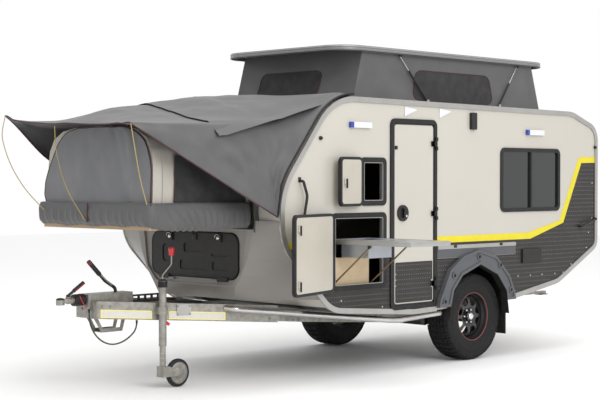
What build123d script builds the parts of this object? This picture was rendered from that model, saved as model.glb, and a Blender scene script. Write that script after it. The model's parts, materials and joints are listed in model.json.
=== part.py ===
"""Off-road caravan with a pop-top roof, a fold-out front bed and a slide-out kitchen board.

The caravan is drawn about its axle: x runs rearward from the axle, y to its right from its
centreline and z up from the ground, in millimetres. export() moves every piece by the same step,
so that the origin lies on the ground under the middle of the caravan's box.
"""

import math
import os

from build123d import *

# Place of the origin, seen from the axle and the centreline
ORIGIN_X = -995.7
ORIGIN_Y = -377.5

# Body
HALF_WIDTH = 975.0
SIDE_WALL = 30.0
SHELL = 35.0
# Corners of the side's outline: x, z, radius of the bend
OUTLINE = [
    (-1902, 2287, 520), (-2485, 1540, 560), (-2485, 1110, 400), (-1927, 554, 330), (-900, 478, 800),
    (450, 520, 800), (1217, 638, 300), (1876, 963, 110), (1876, 2118, 170), (1446, 2262, 400),
]
ROOF_FRONT_X = -1640.0
ROOF_REAR_X = 1446.0
BED_RECESS_Z = 1225.0
INNER_HALF = HALF_WIDTH - SIDE_WALL
RAIL_WIDE = 36.0
RAIL_LIP = 8.0
RAIL_THICK = 12.0
PLATE_THICK = 2.0

# Wheels
TYRE_R = 388.0
TYRE_WIDE = 245.0
RIM_R = 212.0
TRACK_HALF = 803.0
AXLE_Z = TYRE_R
HUB_R = 75.0
AXLE_TUBE_R = 40.0
RUNNING_GAP = 0.05
# Tread: blocks on each shoulder and along the middle
TREAD_DEEP = 11.0
TREAD_COUNT = 30
GROOVE_Y = 36.0
GROOVE_HALF = 6.0
# Opening of the wheel arch in the side, and the outer edge of its flare: x, z
ARCH = [(-450, 380), (-445, 504), (-404, 650), (-279, 776), (-23, 862), (227, 761), (363, 608), (400, 380)]
FLARE = [
    (-600, 508), (-587, 573), (-446, 827), (-266, 943), (-45, 993), (212, 925), (408, 743), (484, 602),
    (503, 523),
]
# What the plates and mouldings leave free below the flare: x, z
FLARE_SKIRT = [(503, 300), (-600, 300)]
FLARE_THICK = 45.0
FLARE_EDGE = 24.0
FLARE_SUNK = 9.0
# Bolts of the flare: x, z
FLARE_BOLTS = [(-520, 556), (-390, 778), (-38, 930), (272, 842), (432, 610)]
WHEEL_BOX_TOP = 880.0
WHEEL_BOX_X = (-480.0, 430.0)
WHEEL_BOX_WIDE = 340.0
BOX_SHEET = 10.0

# Entry door
DOOR_X = (-1206.0, -600.0)
DOOR_Z = (520.0, 2130.0)
DOOR_FRAME = 40.0
FRAME_PROUD = 14.0
DOOR_CORNER = 60.0
DOOR_GAP = 6.0
DOOR_THICK = 30.0
JAMB = 8.0

# Kitchen hatch and small hatch, each with an overlay door hinged at its front edge
KITCHEN_X = (-1917.0, -1257.0)
KITCHEN_Z = (720.0, 1347.0)
SMALL_X = (-1574.0, -1258.0)
SMALL_Z = (1403.0, 1800.0)
HATCH_FRAME = 38.0
HATCH_CORNER = 45.0
LEAF_THICK = 28.0
LEAF_GAP = 3.0
KITCHEN_OPEN = 163.0
SMALL_OPEN = 171.0

# Window of the left side, repeated on the right side
WINDOW_X = (312.0, 1245.0)
WINDOW_Z = (1320.0, 1908.0)
WINDOW_FRAME = 36.0
WINDOW_CORNER = 60.0
PANE = 4.0

# Kitchen board that slides out through the hatch
BOARD_X = (-1872.0, -1392.0)
BOARD_Z = (1100.0, 1134.0)
BOARD_OUT = 800.0
BOARD_IN = 60.0
SINK_X = (-1835.0, -1560.0)
SINK_OUT = (330.0, 40.0)
SINK_DEEP = 105.0
SINK_SHEET = 3.0
BRACE_R = 7.0
BRACE_OUT = 370.0
BRACE_IN = 25.0
BRACE_PIN_DROP = 14.0
BRACE_FOOT_Z = 775.0
CABINET_DEEP = 30.0
# Clearance between a piece that moves and what carries it
SLIDE_GAP = 0.3

# Moulded nose: its front leans back below the knee, and its sides run out to the outline's front
NOSE_FRONT_X = -2530.0
NOSE_KNEE_X = -2500.0
NOSE_TOP_Z = 1296.0
NOSE_LOW_Z = 660.0
NOSE_WALL = 32.0
# Half width of the front face: z, half width
NOSE_FACE = [
    (NOSE_LOW_Z, 470), (760, 505), (860, 585), (993, 650), (1100, 680), (1190, 702), (1276, 718),
    (NOSE_TOP_Z, 722),
]
PANEL_IN = 18.0
# Recessed panel round the lid: half width, z
PANEL = [(640, 1250), (592, 905), (470, 772)]
LID_HALF = 540.0
LID_Z = (815.0, 1195.0)
LID_CORNER = 95.0
LID_GAP = 6.0
LID_THICK = 30.0
LID_PIN = (NOSE_FRONT_X + PANEL_IN - 22.0, LID_Z[0] - 11.0)
# Pockets pressed into the lid: y, z, width, height
LID_POCKETS = [
    (300, 1010, 190, 150), (0, 1060, 250, 70), (0, 918, 345, 76), (-320, 1010, 210, 24), (-320, 920, 190, 70),
]
# Boot behind the lid
BOOT_DEEP = 400.0
BOOT_WALL = 8.0

# Pop-top
POP_X = (-1554.0, 1395.0)
POP_HALF = 765.0
POP_RIM_Z = 2695.0
POP_RIM = 8.0
POP_UNDER_Z = 2725.0
POP_EDGE_Z = 2745.0
POP_CROWN = 24.0
POP_TRAVEL = 390.0
FABRIC_TOP_X = (-1270.0, 1130.0)
FABRIC_FOOT_X = (-1390.0, 1270.0)
FABRIC_HALF = 722.0
FABRIC = 4.0
COAMING = 12.0
STRUT_Y = 737.0
STRUT_R = 9.0
ROD_R = 4.0
STRUT_EYE = 8.0
STRUT_SIDE = 1.5
FOOT_THICK = 4.0
# Gas struts of one side: name, foot x, foot z, eye x, eye z
STRUTS = [("front", -437, 2310, -810, 2690), ("rear", 608, 2306, 889, 2690)]

# Bed platform and the tent on it
BED_X = (-3530.0, -2545.0)
BED_HALF = 660.0
BED_Z = (1240.0, 1298.0)
BED_PIN = (-2512.0, 1262.0)
MATTRESS_TOP = 1420.0
COVER_OUT = 38.0
COVER = 12.0
COVER_Z = (1212.0, 1440.0)
TENT_FRONT_X = -3490.0
TENT_HALF = 645.0
TENT_SHEET = 6.0
FLY_SHEET = 8.0
FLY_GAP = 22.0
FLY_EDGE_Y = 968.0
SPLIT_X = -2507.0
HEM_FOOT_Z = 1318.0
ROD = 6.0

# Frame
RAIL_Y = 590.0
RAIL_W = 60.0
RAIL_H = 100.0
RAIL_FRONT_X = -2165.0
RAIL_FRONT_TOP = 575.0
DRAWBAR_H = 135.0
DRAWBAR_FOOT_Z = 466.0
RAIL_REAR_X = 1150.0
APEX = (-3600.0, 95.0, 557.0)
COUPLING_X = -3853.0
COUPLING_Z = 700.0
BALL_R = 25.4
SOCKET_WALL = 7.0
SOCKET_DEEP = 33.0

# Jockey wheel, clamped to the outer face of the left drawbar rail
JOCKEY_X = -3130.0
JOCKEY_OUT = 45.0
JOCKEY_TUBE_R = 30.0
JOCKEY_LEG_R = 24.0
JOCKEY_WHEEL_R = 110.0
JOCKEY_WHEEL_W = 60.0
JOCKEY_TRAIL = 150.0

# Breakaway cable from the coupling to the left rail: points of its route, chosen by hand
CABLE_R = 6.0
CABLE_ROUTE = [
    (-3630, -60, 632), (-3630, -60, 540), (-3600, -74, 450), (-3545, -95, 383), (-3470, -120, 349),
    (-3393, -148, 360), (-3323, -173, 404), (-3275, -195, 466), (-3275, -195, 528),
]


def export(name, shape):
    """Moves a piece to the shared frame and writes it under its own name."""
    moved = Pos(-ORIGIN_X, -ORIGIN_Y, 0) * shape
    export_step(Compound(children=list(moved.solids()), label=name), f"parts/{name}.step")


def span(a, b):
    return (a + b) / 2, abs(b - a)


def block(x, y, z):
    """Box between two values on each axis."""
    (cx, lx), (cy, ly), (cz, lz) = span(*x), span(*y), span(*z)
    return Pos(cx, cy, cz) * Box(lx, ly, lz)


def side_prism(face, y0, y1):
    """A face drawn in x and z, drawn out from y0 to y1."""
    return extrude(Plane.XZ.offset(-max(y0, y1)) * face, amount=abs(y1 - y0))


def bar(p, q, r, inner=0.0):
    """Round bar, or tube, from p to q."""
    start, end = Vector(*p), Vector(*q)
    ring = Circle(r) - Circle(inner) if inner else Circle(r)
    return extrude(Plane(origin=start, z_dir=end - start) * ring, amount=(end - start).length)


def bent_tube(points, radii, r):
    """Round tube along straight runs joined by arcs."""
    path = FilletPolyline(*points, radius=radii)
    return sweep(Plane(origin=path @ 0, z_dir=path % 0) * Circle(r), path=path)


def rounded(x, z, r):
    """Rounded rectangle in x and z."""
    (cx, lx), (cz, lz) = span(*x), span(*z)
    return Pos(cx, cz) * RectangleRounded(lx, lz, r)


def polygon(points):
    return make_face(Polyline(*points, close=True))


def both(left):
    """A piece of the left side and its mirror image on the right."""
    return Compound(children=list(left.solids()) + list(mirror(left, about=Plane.XZ).solids()))


def outline(grow=0.0):
    path = FilletPolyline(*[(x, z) for x, z, _ in OUTLINE], radius=[r for _, _, r in OUTLINE], close=True)
    face = make_face(path)
    return offset(face, amount=grow, kind=Kind.INTERSECTION) if grow else face


def shrink(pair, by):
    return pair[0] + by, pair[1] - by


SIDE = outline()
INNER = outline(-SHELL)
OUTER = outline(RAIL_LIP)
LEFT = -HALF_WIDTH
ARCH_FACE = polygon(ARCH)


def sill_z(x):
    """Height of the body's underside at x, between the corners of the outline."""
    low = [(px, pz) for px, pz, _ in OUTLINE[3:8]]
    for (xa, za), (xb, zb) in zip(low, low[1:]):
        if xa <= x <= xb:
            return za + (zb - za) * (x - xa) / (xb - xa)
    return low[0][1]


def clear_hole(x, z, width, corner):
    """Clear opening inside a frame of that width."""
    return rounded(shrink(x, width), shrink(z, width), max(corner - width, 12))


def wall_hole(x, z, width, corner):
    """Hole in the wall that a frame's jamb lines."""
    return rounded(shrink(x, width - JAMB), shrink(z, width - JAMB), max(corner - width, 12) + JAMB)


def side_wall(left):
    face = SIDE - ARCH_FACE - wall_hole(WINDOW_X, WINDOW_Z, WINDOW_FRAME, WINDOW_CORNER)
    if left:
        face -= wall_hole(DOOR_X, DOOR_Z, DOOR_FRAME, DOOR_CORNER)
        for x, z in ((KITCHEN_X, KITCHEN_Z), (SMALL_X, SMALL_Z)):
            face -= wall_hole(x, z, HATCH_FRAME, HATCH_CORNER)
    wall = side_prism(face, LEFT, LEFT + SIDE_WALL)
    return wall if left else mirror(wall, about=Plane.XZ)


def opening_frame(x, z, width, corner, proud):
    """Rubber frame: a flange on the wall and a thin jamb through it."""
    clear = clear_hole(x, z, width, corner)
    flange = rounded(x, z, corner) - clear
    jamb = wall_hole(x, z, width, corner) - clear
    return side_prism(flange, LEFT - proud, LEFT) + side_prism(jamb, LEFT, LEFT + SIDE_WALL)


def shell_panels():
    """Floor, rear wall, roof, sloping front and bulkhead, split where the real panels meet."""
    ring = side_prism(SIDE - INNER, -INNER_HALF, INNER_HALF)
    far = 4000
    half = (-INNER_HALF, INNER_HALF)
    front = ring & block((-far, ROOF_FRONT_X), half, (700, far))
    front += ring & block((-far, -1950), half, (0, 700))
    floor = ring & block((-1950, 1217), half, (0, 900))
    rear = ring & block((1217, far), half, (0, 2230))
    rear -= block((1217, ROOF_REAR_X), half, (1900, far))
    roof = ring & block((ROOF_FRONT_X, ROOF_REAR_X), half, (1900, far))
    return front, floor, rear, roof


def cabin():
    front, floor, rear, roof = shell_panels()
    bed_open = BED_HALF + COVER_OUT + 30
    front -= block((-4000, -1800), (-bed_open, bed_open), (BED_RECESS_Z, 2400))
    front -= extrude(lid_outline(NOSE_FRONT_X, -BOOT_WALL), amount=BOOT_DEEP)
    roof_open = FABRIC_HALF - COAMING - 60
    roof -= block(shrink(FABRIC_TOP_X, 60), (-roof_open, roof_open), (2000, 2400))
    box_out = INNER_HALF
    box_in = INNER_HALF - WHEEL_BOX_WIDE
    well = block(WHEEL_BOX_X, (-box_out, -box_in), (0, WHEEL_BOX_TOP))
    wells = well + mirror(well, about=Plane.XZ)
    floor -= wells
    inside_y = (-box_out, -box_in - BOX_SHEET)
    inside = block(shrink(WHEEL_BOX_X, BOX_SHEET), inside_y, (0, WHEEL_BOX_TOP - BOX_SHEET))
    wheel_box = (well - inside) & side_prism(SIDE, -INNER_HALF, INNER_HALF)
    export("front_panel", front)
    export("floor", floor + wheel_box + mirror(wheel_box, about=Plane.XZ))
    export("rear_wall", rear)
    export("roof_panel", roof)
    for name, left in (("side_wall_left", True), ("side_wall_right", False)):
        export(name, side_wall(left))


def edge_rails():
    """Aluminium moulding along each side's edge, open at the wheel arch."""
    face = OUTER - outline(-RAIL_WIDE) - polygon(FLARE + FLARE_SKIRT)
    face -= rounded(DOOR_X, DOOR_Z, DOOR_CORNER)
    export("edge_rails", both(side_prism(face, LEFT - RAIL_THICK, LEFT)))


# Upper edge of the checker plate, rearward from the kitchen hatch: x, z
STRIPE_TOP = [(-2460, 1124), (737, 1124), (1248, 1226), (1567, 1830), (1900, 1843)]
STRIPE_LOW = [(-2460, 1070), (777, 1065), (1311, 1204), (1612, 1777), (1900, 1783)]
# Side table folded against the wall: ends, then bottom, underside and top of its rail
TABLE_X = (-596.0, 526.0)
TABLE_Z = (932.0, 1012.0, 1043.0)


def keep_clear():
    """What the plates and stripes leave free on the left side."""
    kitchen = rounded((KITCHEN_X[0] - 16, KITCHEN_X[1]), KITCHEN_Z, HATCH_CORNER)
    return rounded(DOOR_X, DOOR_Z, DOOR_CORNER) + kitchen + polygon(FLARE + FLARE_SKIRT)


def plates():
    inner = outline(-RAIL_WIDE)
    below = inner & polygon(STRIPE_LOW + [(1900, 300), (-2500, 300)])
    stripe = inner & polygon(STRIPE_TOP + STRIPE_LOW[::-1])
    left, right = below - keep_clear(), below - polygon(FLARE + FLARE_SKIRT)
    stripe_left, stripe_right = stripe - keep_clear(), stripe
    strip = rounded(shrink(TABLE_X, -2), (TABLE_Z[0] - 2, TABLE_Z[2] + 2), 4)
    left, stripe_left = left - strip, stripe_left - strip

    def layer(face_left, face_right):
        near = side_prism(face_left, LEFT - PLATE_THICK, LEFT)
        far = side_prism(face_right, -LEFT, -LEFT + PLATE_THICK)
        return Compound(children=list(near.solids()) + list(far.solids()))

    export("checker_plates", layer(left, right))
    export("side_stripes", layer(stripe_left, stripe_right))
    table = rounded(TABLE_X, TABLE_Z[:2], 3) - offset(polygon(FLARE), amount=3)
    strip_rail = rounded(TABLE_X, TABLE_Z[1:], 3)
    export("stowed_table", side_prism(table, LEFT - 16, LEFT) + side_prism(strip_rail, LEFT - 24, LEFT))


def flares():
    face = polygon(FLARE) - ARCH_FACE
    flare = side_prism(face, LEFT - FLARE_THICK, LEFT)
    band = offset(polygon(FLARE), amount=-FLARE_EDGE, kind=Kind.INTERSECTION)
    band -= offset(ARCH_FACE, amount=FLARE_EDGE, kind=Kind.INTERSECTION) + rounded((-700, 700), (300, 540), 5)
    for x, z in FLARE_BOLTS:
        band -= Pos(x, z) * Circle(30)
    flare -= side_prism(band, LEFT - FLARE_THICK - 1, LEFT - FLARE_THICK + FLARE_SUNK)
    for x, z in FLARE_BOLTS:
        flare -= side_prism(Pos(x, z) * Circle(17), LEFT - FLARE_THICK - 1, LEFT - FLARE_THICK + 14)
    flap = block((420, 432), (LEFT + 20, LEFT + 270), (205, 515))
    hanger = block((432, 452), (LEFT + 32, LEFT + 270), (480, 540)) - side_prism(SIDE, LEFT, 0)
    export("arch_flares", both(flare))
    export("mudflaps", both(flap + hanger))


def hinge_barrel(x, y, z, r=8.0):
    return bar((x, y, z[0]), (x, y, z[1]), r)


def entry_door():
    x_pin, y_pin = DOOR_X[1] - 22, LEFT - FRAME_PROUD - 9
    frame = opening_frame(DOOR_X, DOOR_Z, DOOR_FRAME, DOOR_CORNER, FRAME_PROUD)
    gap = DOOR_FRAME + DOOR_GAP
    leaf_x = (DOOR_X[0] + gap + 2, DOOR_X[1] - gap)
    leaf_face = rounded(leaf_x, shrink(DOOR_Z, gap), DOOR_CORNER - gap + 16)
    leaf = side_prism(leaf_face, LEFT - 8, LEFT - 8 + DOOR_THICK)
    for z in (700, 1300, 1900):
        leaf += hinge_barrel(x_pin, y_pin, (z, z + 50))
        leaf += block((leaf_x[1] - 30, x_pin), (y_pin - 4, y_pin + 3), (z + 4, z + 46))
        leaf += block((leaf_x[1] - 30, leaf_x[1] - 6), (y_pin - 4, LEFT - 7), (z + 4, z + 46))
        for low in (z - 30 - SLIDE_GAP, z + 50 + SLIDE_GAP):
            frame += hinge_barrel(x_pin, y_pin, (low, low + 30))
            frame += block((x_pin, DOOR_X[1] - 2), (y_pin - 4, LEFT - FRAME_PROUD), (low, low + 30))
    plate = side_prism(rounded((leaf_x[0] + 14, leaf_x[1] - 14), (DOOR_Z[0] + gap + 14, 920), 12),
                       LEFT - 8 - PLATE_THICK, LEFT - 8)
    hinge_side = block((leaf_x[1] - 32, leaf_x[1]), (LEFT - 30, LEFT), (690, 760))
    export("entry_door", leaf)
    export("door_plate", plate - hinge_side)
    grip = side_prism(Pos(-1055, 1335) * Circle(68), LEFT - 22, LEFT - 8)
    grip -= side_prism(Pos(-1070, 1335) * RectangleRounded(46, 84, 12), LEFT - 23, LEFT - 14)
    grip += side_prism(Pos(-1046, 1335) * RectangleRounded(22, 76, 8), LEFT - 34, LEFT - 21)
    export("door_handle", grip)
    return frame


def hatch(name, x, z, open_deg, latch_z):
    """Frame of a hatch and its overlay door, stored open about the pin at its front edge."""
    frame = opening_frame(x, z, HATCH_FRAME, HATCH_CORNER, RAIL_THICK)
    pin_x, pin_y = x[0] - 8, LEFT - RAIL_THICK - LEAF_GAP - LEAF_THICK / 2
    near = LEFT - RAIL_THICK - LEAF_GAP
    leaf = side_prism(rounded(x, z, HATCH_CORNER), near - LEAF_THICK, near)
    for low in (z[0] + 70, z[1] - 130):
        leaf += hinge_barrel(pin_x, pin_y, (low, low + 60), 7)
        leaf += block((pin_x, x[0] + 6), (pin_y - 3, pin_y + 3), (low, low + 60))
        for ear in (low - 20 - SLIDE_GAP, low + 60 + SLIDE_GAP):
            frame += hinge_barrel(pin_x, pin_y, (ear, ear + 20), 7)
            frame += block((pin_x - 5, pin_x + 5), (pin_y, LEFT), (ear, ear + 20))
            frame += block((pin_x - 5, x[0] + 8), (LEFT - RAIL_THICK, LEFT), (ear, ear + 20))
    for low in latch_z:
        leaf += block((x[1] - 70, x[1] - 44), (near - 1, near + 10), (low, low + 46))
    leaf = Pos(pin_x, pin_y, 0) * Rot(0, 0, -open_deg) * Pos(-pin_x, -pin_y, 0) * leaf
    export(f"{name}_door", leaf)
    return frame


def windows():
    frame = opening_frame(WINDOW_X, WINDOW_Z, WINDOW_FRAME, WINDOW_CORNER, RAIL_THICK)
    mid = (WINDOW_X[0] + WINDOW_X[1]) / 2
    glass_y = LEFT + 6
    hole = wall_hole(WINDOW_X, WINDOW_Z, WINDOW_FRAME, WINDOW_CORNER)
    frame -= side_prism(hole, glass_y, glass_y + PANE)
    frame += block((mid - 12, mid + 12), (LEFT - RAIL_THICK, glass_y), shrink(WINDOW_Z, WINDOW_FRAME - 1))
    pane = side_prism(hole, glass_y, glass_y + PANE)
    export("window_frames", both(frame))
    export("window_panes", both(pane))


def front_x(z):
    """Foremost x of the side's outline at z, over the bend below the bed."""
    x, corner_z, radius = OUTLINE[2]
    foot_x, foot_z, _ = OUTLINE[3]
    slope = math.atan2(foot_x - x, corner_z - foot_z)
    reach = radius * math.tan(slope / 2)
    if z >= corner_z + reach:
        return x
    if z > corner_z - reach * math.cos(slope):
        return x + radius - math.sqrt(radius ** 2 - (z - corner_z - reach) ** 2)
    return x + (corner_z - z) * math.tan(slope)


def nose_form(wall, top):
    """Solid form of the nose behind its outer skin, less a wall of that thickness."""
    sections = []
    for z, half in NOSE_FACE:
        face_x = (NOSE_KNEE_X if z == NOSE_LOW_Z else NOSE_FRONT_X) + wall
        side_x, side_y = front_x(z) + wall / 3, HALF_WIDTH - 1 - 1.4 * wall
        right = [(face_x, half - wall), (side_x, side_y), (-1900, side_y)]
        outline_xy = right + [(x, -y) for x, y in right[::-1]]
        sections.append(Plane.XY.offset(min(z, top) if z > 1276 else z) * polygon(outline_xy))
    return loft(sections, ruled=True)


def lid_outline(x, gap):
    """Rounded outline of the lid's opening at x, made smaller by a gap."""
    (cz, lz) = span(*LID_Z)
    yz = Plane(origin=(x, 0, 0), x_dir=(0, 1, 0), z_dir=(1, 0, 0))
    return yz * (Pos(0, cz) * RectangleRounded(2 * (LID_HALF - gap), lz - 2 * gap, LID_CORNER - gap))


def boot():
    """Tub behind the lid, for stores, let into the bulkhead."""
    back_x = NOSE_FRONT_X + NOSE_WALL
    grown = -BOOT_WALL
    tub = extrude(lid_outline(back_x - 4, grown), amount=BOOT_DEEP)
    return tub - extrude(lid_outline(back_x - 5, 0), amount=BOOT_DEEP - BOOT_WALL)


def nose():
    """Moulded nose in front of the bulkhead, with a recessed panel and the storage lid's opening."""
    shell = nose_form(0, NOSE_TOP_Z) - nose_form(NOSE_WALL, NOSE_TOP_Z - 1)
    shell -= side_prism(SIDE, -HALF_WIDTH - 20, HALF_WIDTH + 20)
    recess = BED_HALF + COVER_OUT + 36
    bed_room = block((-2700, -2000), (-recess, recess), (BED_RECESS_Z - 14, 1400))
    shell -= bed_room
    ledge = block((NOSE_FRONT_X, OUTLINE[1][0]), (-recess, recess), (BED_RECESS_Z - 14, BED_RECESS_Z))
    shell += ledge & nose_form(0, NOSE_TOP_Z)
    corners = PANEL + [(-y, z) for y, z in PANEL[::-1]]
    yz = Plane(origin=(NOSE_FRONT_X - 1, 0, 0), x_dir=(0, 1, 0), z_dir=(1, 0, 0))
    panel = make_face(FilletPolyline(*corners, radius=[30, 90, 90, 90, 90, 30], close=True))
    shell -= extrude(yz * panel, amount=PANEL_IN + 1) - bed_room
    shell -= extrude(lid_outline(NOSE_FRONT_X - 1, 0), amount=NOSE_WALL + 3)
    pin_x, pin_z = BED_PIN
    for y in (-420, 420):
        for side in (-1, 1):
            ear = (y + side * (20 + SLIDE_GAP), y + side * 33)
            shell += block((pin_x - 14, pin_x + 14), ear, (BED_RECESS_Z - 1, pin_z + 10))
    face_x = NOSE_FRONT_X + PANEL_IN
    lid_x, lid_z = LID_PIN
    for side in (-1, 1):
        knuckle_y = (side * 240, side * (300 - SLIDE_GAP))
        shell += block((lid_x - 6, face_x + 1), knuckle_y, (lid_z - 12, lid_z))
        shell += bar((lid_x, knuckle_y[0], lid_z), (lid_x, knuckle_y[1], lid_z), 6)
    shell += boot()
    shell = Compound(children=[max(shell.solids(), key=lambda s: s.volume)])
    export("nose", shell)
    lid = extrude(lid_outline(face_x - 12, LID_GAP), amount=LID_THICK)
    for y, z, wide, tall in LID_POCKETS:
        yz = Plane(origin=(face_x - 13, 0, 0), x_dir=(0, 1, 0), z_dir=(1, 0, 0))
        lid -= extrude(yz * (Pos(y, z) * RectangleRounded(wide, tall, min(tall, wide) / 4)), amount=9)
    for y in (-300, 300):
        lid += block((face_x - 24, face_x - 11), (y - 42, y + 42), (LID_Z[1] - 80, LID_Z[1] - 16))
    for side in (-1, 1):
        lid += bar((lid_x, side * 300, lid_z), (lid_x, side * 420, lid_z), 6)
        lid += block((lid_x - 5, face_x - 10), (side * 300, side * 420), (lid_z, LID_Z[0] + LID_GAP + 12))
    export("nose_lid", lid)


def kitchen():
    y_in = LEFT + BOARD_IN
    board = block(BOARD_X, (LEFT - BOARD_OUT, y_in), BOARD_Z)
    sink_y = (LEFT - SINK_OUT[0], LEFT - SINK_OUT[1])
    bowl = block(shrink(SINK_X, 14), shrink(sink_y, 14), (BOARD_Z[0] - 1, BOARD_Z[1] + 1))
    board -= bowl
    tub = block(SINK_X, sink_y, (BOARD_Z[0] - SINK_DEEP, BOARD_Z[0]))
    floor_z = BOARD_Z[0] - SINK_DEEP + SINK_SHEET
    tub -= block(shrink(SINK_X, SINK_SHEET), shrink(sink_y, SINK_SHEET), (floor_z, BOARD_Z[1]))
    pin_y, pin_z = LEFT - BRACE_OUT, BOARD_Z[0] - BRACE_PIN_DROP
    brace_x = (BOARD_X[0] + 12, BOARD_X[1] - 12)
    for x in brace_x:
        lug = block((x - 12, x - 8), (pin_y - 10, pin_y + 10), (pin_z - 9, BOARD_Z[0]))
        lug += block((x + 8, x + 12), (pin_y - 10, pin_y + 10), (pin_z - 9, BOARD_Z[0]))
        board += lug
    braces = []
    for x in brace_x:
        foot = (x, LEFT + BRACE_IN, BRACE_FOOT_Z)
        one = bar((x, pin_y, pin_z), foot, BRACE_R) + bar((x - 7.7, pin_y, pin_z), (x + 7.7, pin_y, pin_z), 8)
        one += Pos(*foot) * Sphere(9)
        braces += list(one.solids())
    export("kitchen_board", board)
    export("kitchen_sink", tub)
    export("kitchen_braces", Compound(children=braces))
    cabinet_x = (BOARD_X[0] + 34, BOARD_X[1] - 34)
    cab_y = (LEFT + SIDE_WALL + 6, LEFT + SIDE_WALL + 6 + CABINET_DEEP)
    cabinet = block(cabinet_x, cab_y, (sill_z(cabinet_x[0]) - 20, BOARD_Z[0] - SLIDE_GAP))
    cabinet &= side_prism(INNER, LEFT, 0)
    cabinet -= block(shrink(SINK_X, -10), (LEFT, 0), (BOARD_Z[0] - SINK_DEEP - 10, BOARD_Z[0]))
    export("kitchen_cabinet", cabinet)


def pop_top():
    rim = block(POP_X, (-POP_HALF, POP_HALF), (POP_RIM_Z, POP_EDGE_Z))
    crown_x, crown_y = shrink(POP_X, 60), POP_HALF - 60
    levels = []
    for z, x, half in ((POP_EDGE_Z, POP_X, POP_HALF), (POP_EDGE_Z + POP_CROWN, crown_x, crown_y)):
        levels.append(Plane.XY.offset(z) * (Pos(sum(x) / 2, 0) * Rectangle(x[1] - x[0], 2 * half)))
    roof = rim + loft(levels, ruled=True)
    hollow_y = shrink((-POP_HALF, POP_HALF), POP_RIM)
    roof -= block(shrink(POP_X, POP_RIM), hollow_y, (POP_RIM_Z - 1, POP_UNDER_Z))
    for _, _, _, eye_x, eye_z in STRUTS:
        for side in (-1, 1):
            y = side * (STRUT_Y + STRUT_R + STRUT_SIDE)
            roof += block((eye_x - 14, eye_x + 14), (y, side * (POP_HALF - 2)), (eye_z - 14, POP_UNDER_Z + 4))
    export("pop_roof", roof)
    foot_z = 2287.5
    wall = []
    for z, x in ((foot_z, FABRIC_FOOT_X), (POP_UNDER_Z - 0.5, FABRIC_TOP_X)):
        outer = Rectangle(x[1] - x[0], 2 * FABRIC_HALF)
        inner = Rectangle(x[1] - x[0] - 2 * FABRIC, 2 * FABRIC_HALF - 2 * FABRIC)
        wall.append([Plane.XY.offset(z) * (Pos(sum(x) / 2, 0) * ring) for ring in (outer, inner)])
    fabric = loft([wall[0][0], wall[1][0]], ruled=True) - loft([wall[0][1], wall[1][1]], ruled=True)
    export("pop_fabric", fabric)
    for name, foot_x, foot_z, eye_x, eye_z in STRUTS:
        foot, eye = Vector(foot_x, 0, foot_z), Vector(eye_x, 0, eye_z)
        along = (eye - foot).normalized()
        folded = math.hypot(eye_x - foot_x, eye_z - POP_TRAVEL - foot_z)
        stroke = (eye - foot).length - folded
        tube_end = folded - 2 * STRUT_EYE
        tubes, rods = [], []
        for side in (-1, 1):
            shift = Vector(0, side * STRUT_Y, 0)
            a, b = foot + shift, eye + shift
            tube = bar(a + along * 8, a + along * tube_end, STRUT_R, ROD_R + 0.6)
            tube += bar(a + along * 4, a + along * 14, STRUT_R)
            inward = Vector(0, -side * 6, 0)
            outward = Vector(0, side * (STRUT_R + STRUT_SIDE - RUNNING_GAP), 0)
            tube += bar(a + inward, a + outward, STRUT_EYE)
            rod = bar(a + along * (stroke + 20), b - along * 4, ROD_R)
            rod += bar(b + inward, b + outward, STRUT_EYE)
            tubes += list(tube.solids())
            rods += list(rod.solids())
        export(f"strut_tubes_{name}", Compound(children=tubes))
        export(f"strut_rods_{name}", Compound(children=rods))


def strut_feet():
    """Brackets of the gas struts' feet, beside each foot, on top of the roof panel."""
    feet = []
    for _, foot_x, foot_z, _, _ in STRUTS:
        for side in (-1, 1):
            y = side * (STRUT_Y + STRUT_R + STRUT_SIDE)
            foot = block((foot_x - 16, foot_x + 16), (y, y + side * FOOT_THICK), (2250, foot_z + 12))
            feet.append(foot - side_prism(SIDE, -HALF_WIDTH, HALF_WIDTH))
    export("strut_feet", Compound(children=[s for foot in feet for s in foot.solids()]))


# Shoulder and ridge of the fly at its hinge, and how far they rise from there to the roof
SHOULDER = (760, 2055, 235)
RIDGE = (440, 2285, 40)
# Sections of the fly in front of its hinge: x, then half width and height at the hem, shoulder and ridge
FLY_FRONT = [
    (-3815, 785, 2024, 500, 2032, 250, 2046), (-3300, 857, 1745, 775, 2030, 420, 2195),
    (SPLIT_X, FLY_EDGE_Y, HEM_FOOT_Z, *SHOULDER[:2], *RIDGE[:2]),
]
# Behind the hinge the hem follows the two front bends of the side: centre x, z, radius, angles passed
FLY_BENDS = [((-1925, 1347), 560, (9, 23, 38)), ((-1648, 1767), 520, (38, 55, 72, 84))]


def fly_rear_rows():
    rows = [(SPLIT_X + SLIDE_GAP, FLY_EDGE_Y, HEM_FOOT_Z, *SHOULDER[:2], *RIDGE[:2])]
    for (cx, cz), radius, angles in FLY_BENDS:
        for angle in angles:
            out = radius + FLY_GAP
            x = cx - out * math.cos(math.radians(angle))
            z = cz + out * math.sin(math.radians(angle))
            share = (x - SPLIT_X) / (ROOF_FRONT_X - SPLIT_X)
            shoulder = max(SHOULDER[1] + SHOULDER[2] * share, z + 10)
            rows.append((x, FLY_EDGE_Y, z, SHOULDER[0], shoulder, RIDGE[0], RIDGE[1] + RIDGE[2] * share))
    roof_z = OUTLINE[0][1] - 2 + FLY_SHEET + SLIDE_GAP
    rows.append((ROOF_FRONT_X, FLY_EDGE_Y, roof_z, SHOULDER[0], roof_z, RIDGE[0], roof_z))
    return rows


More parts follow.
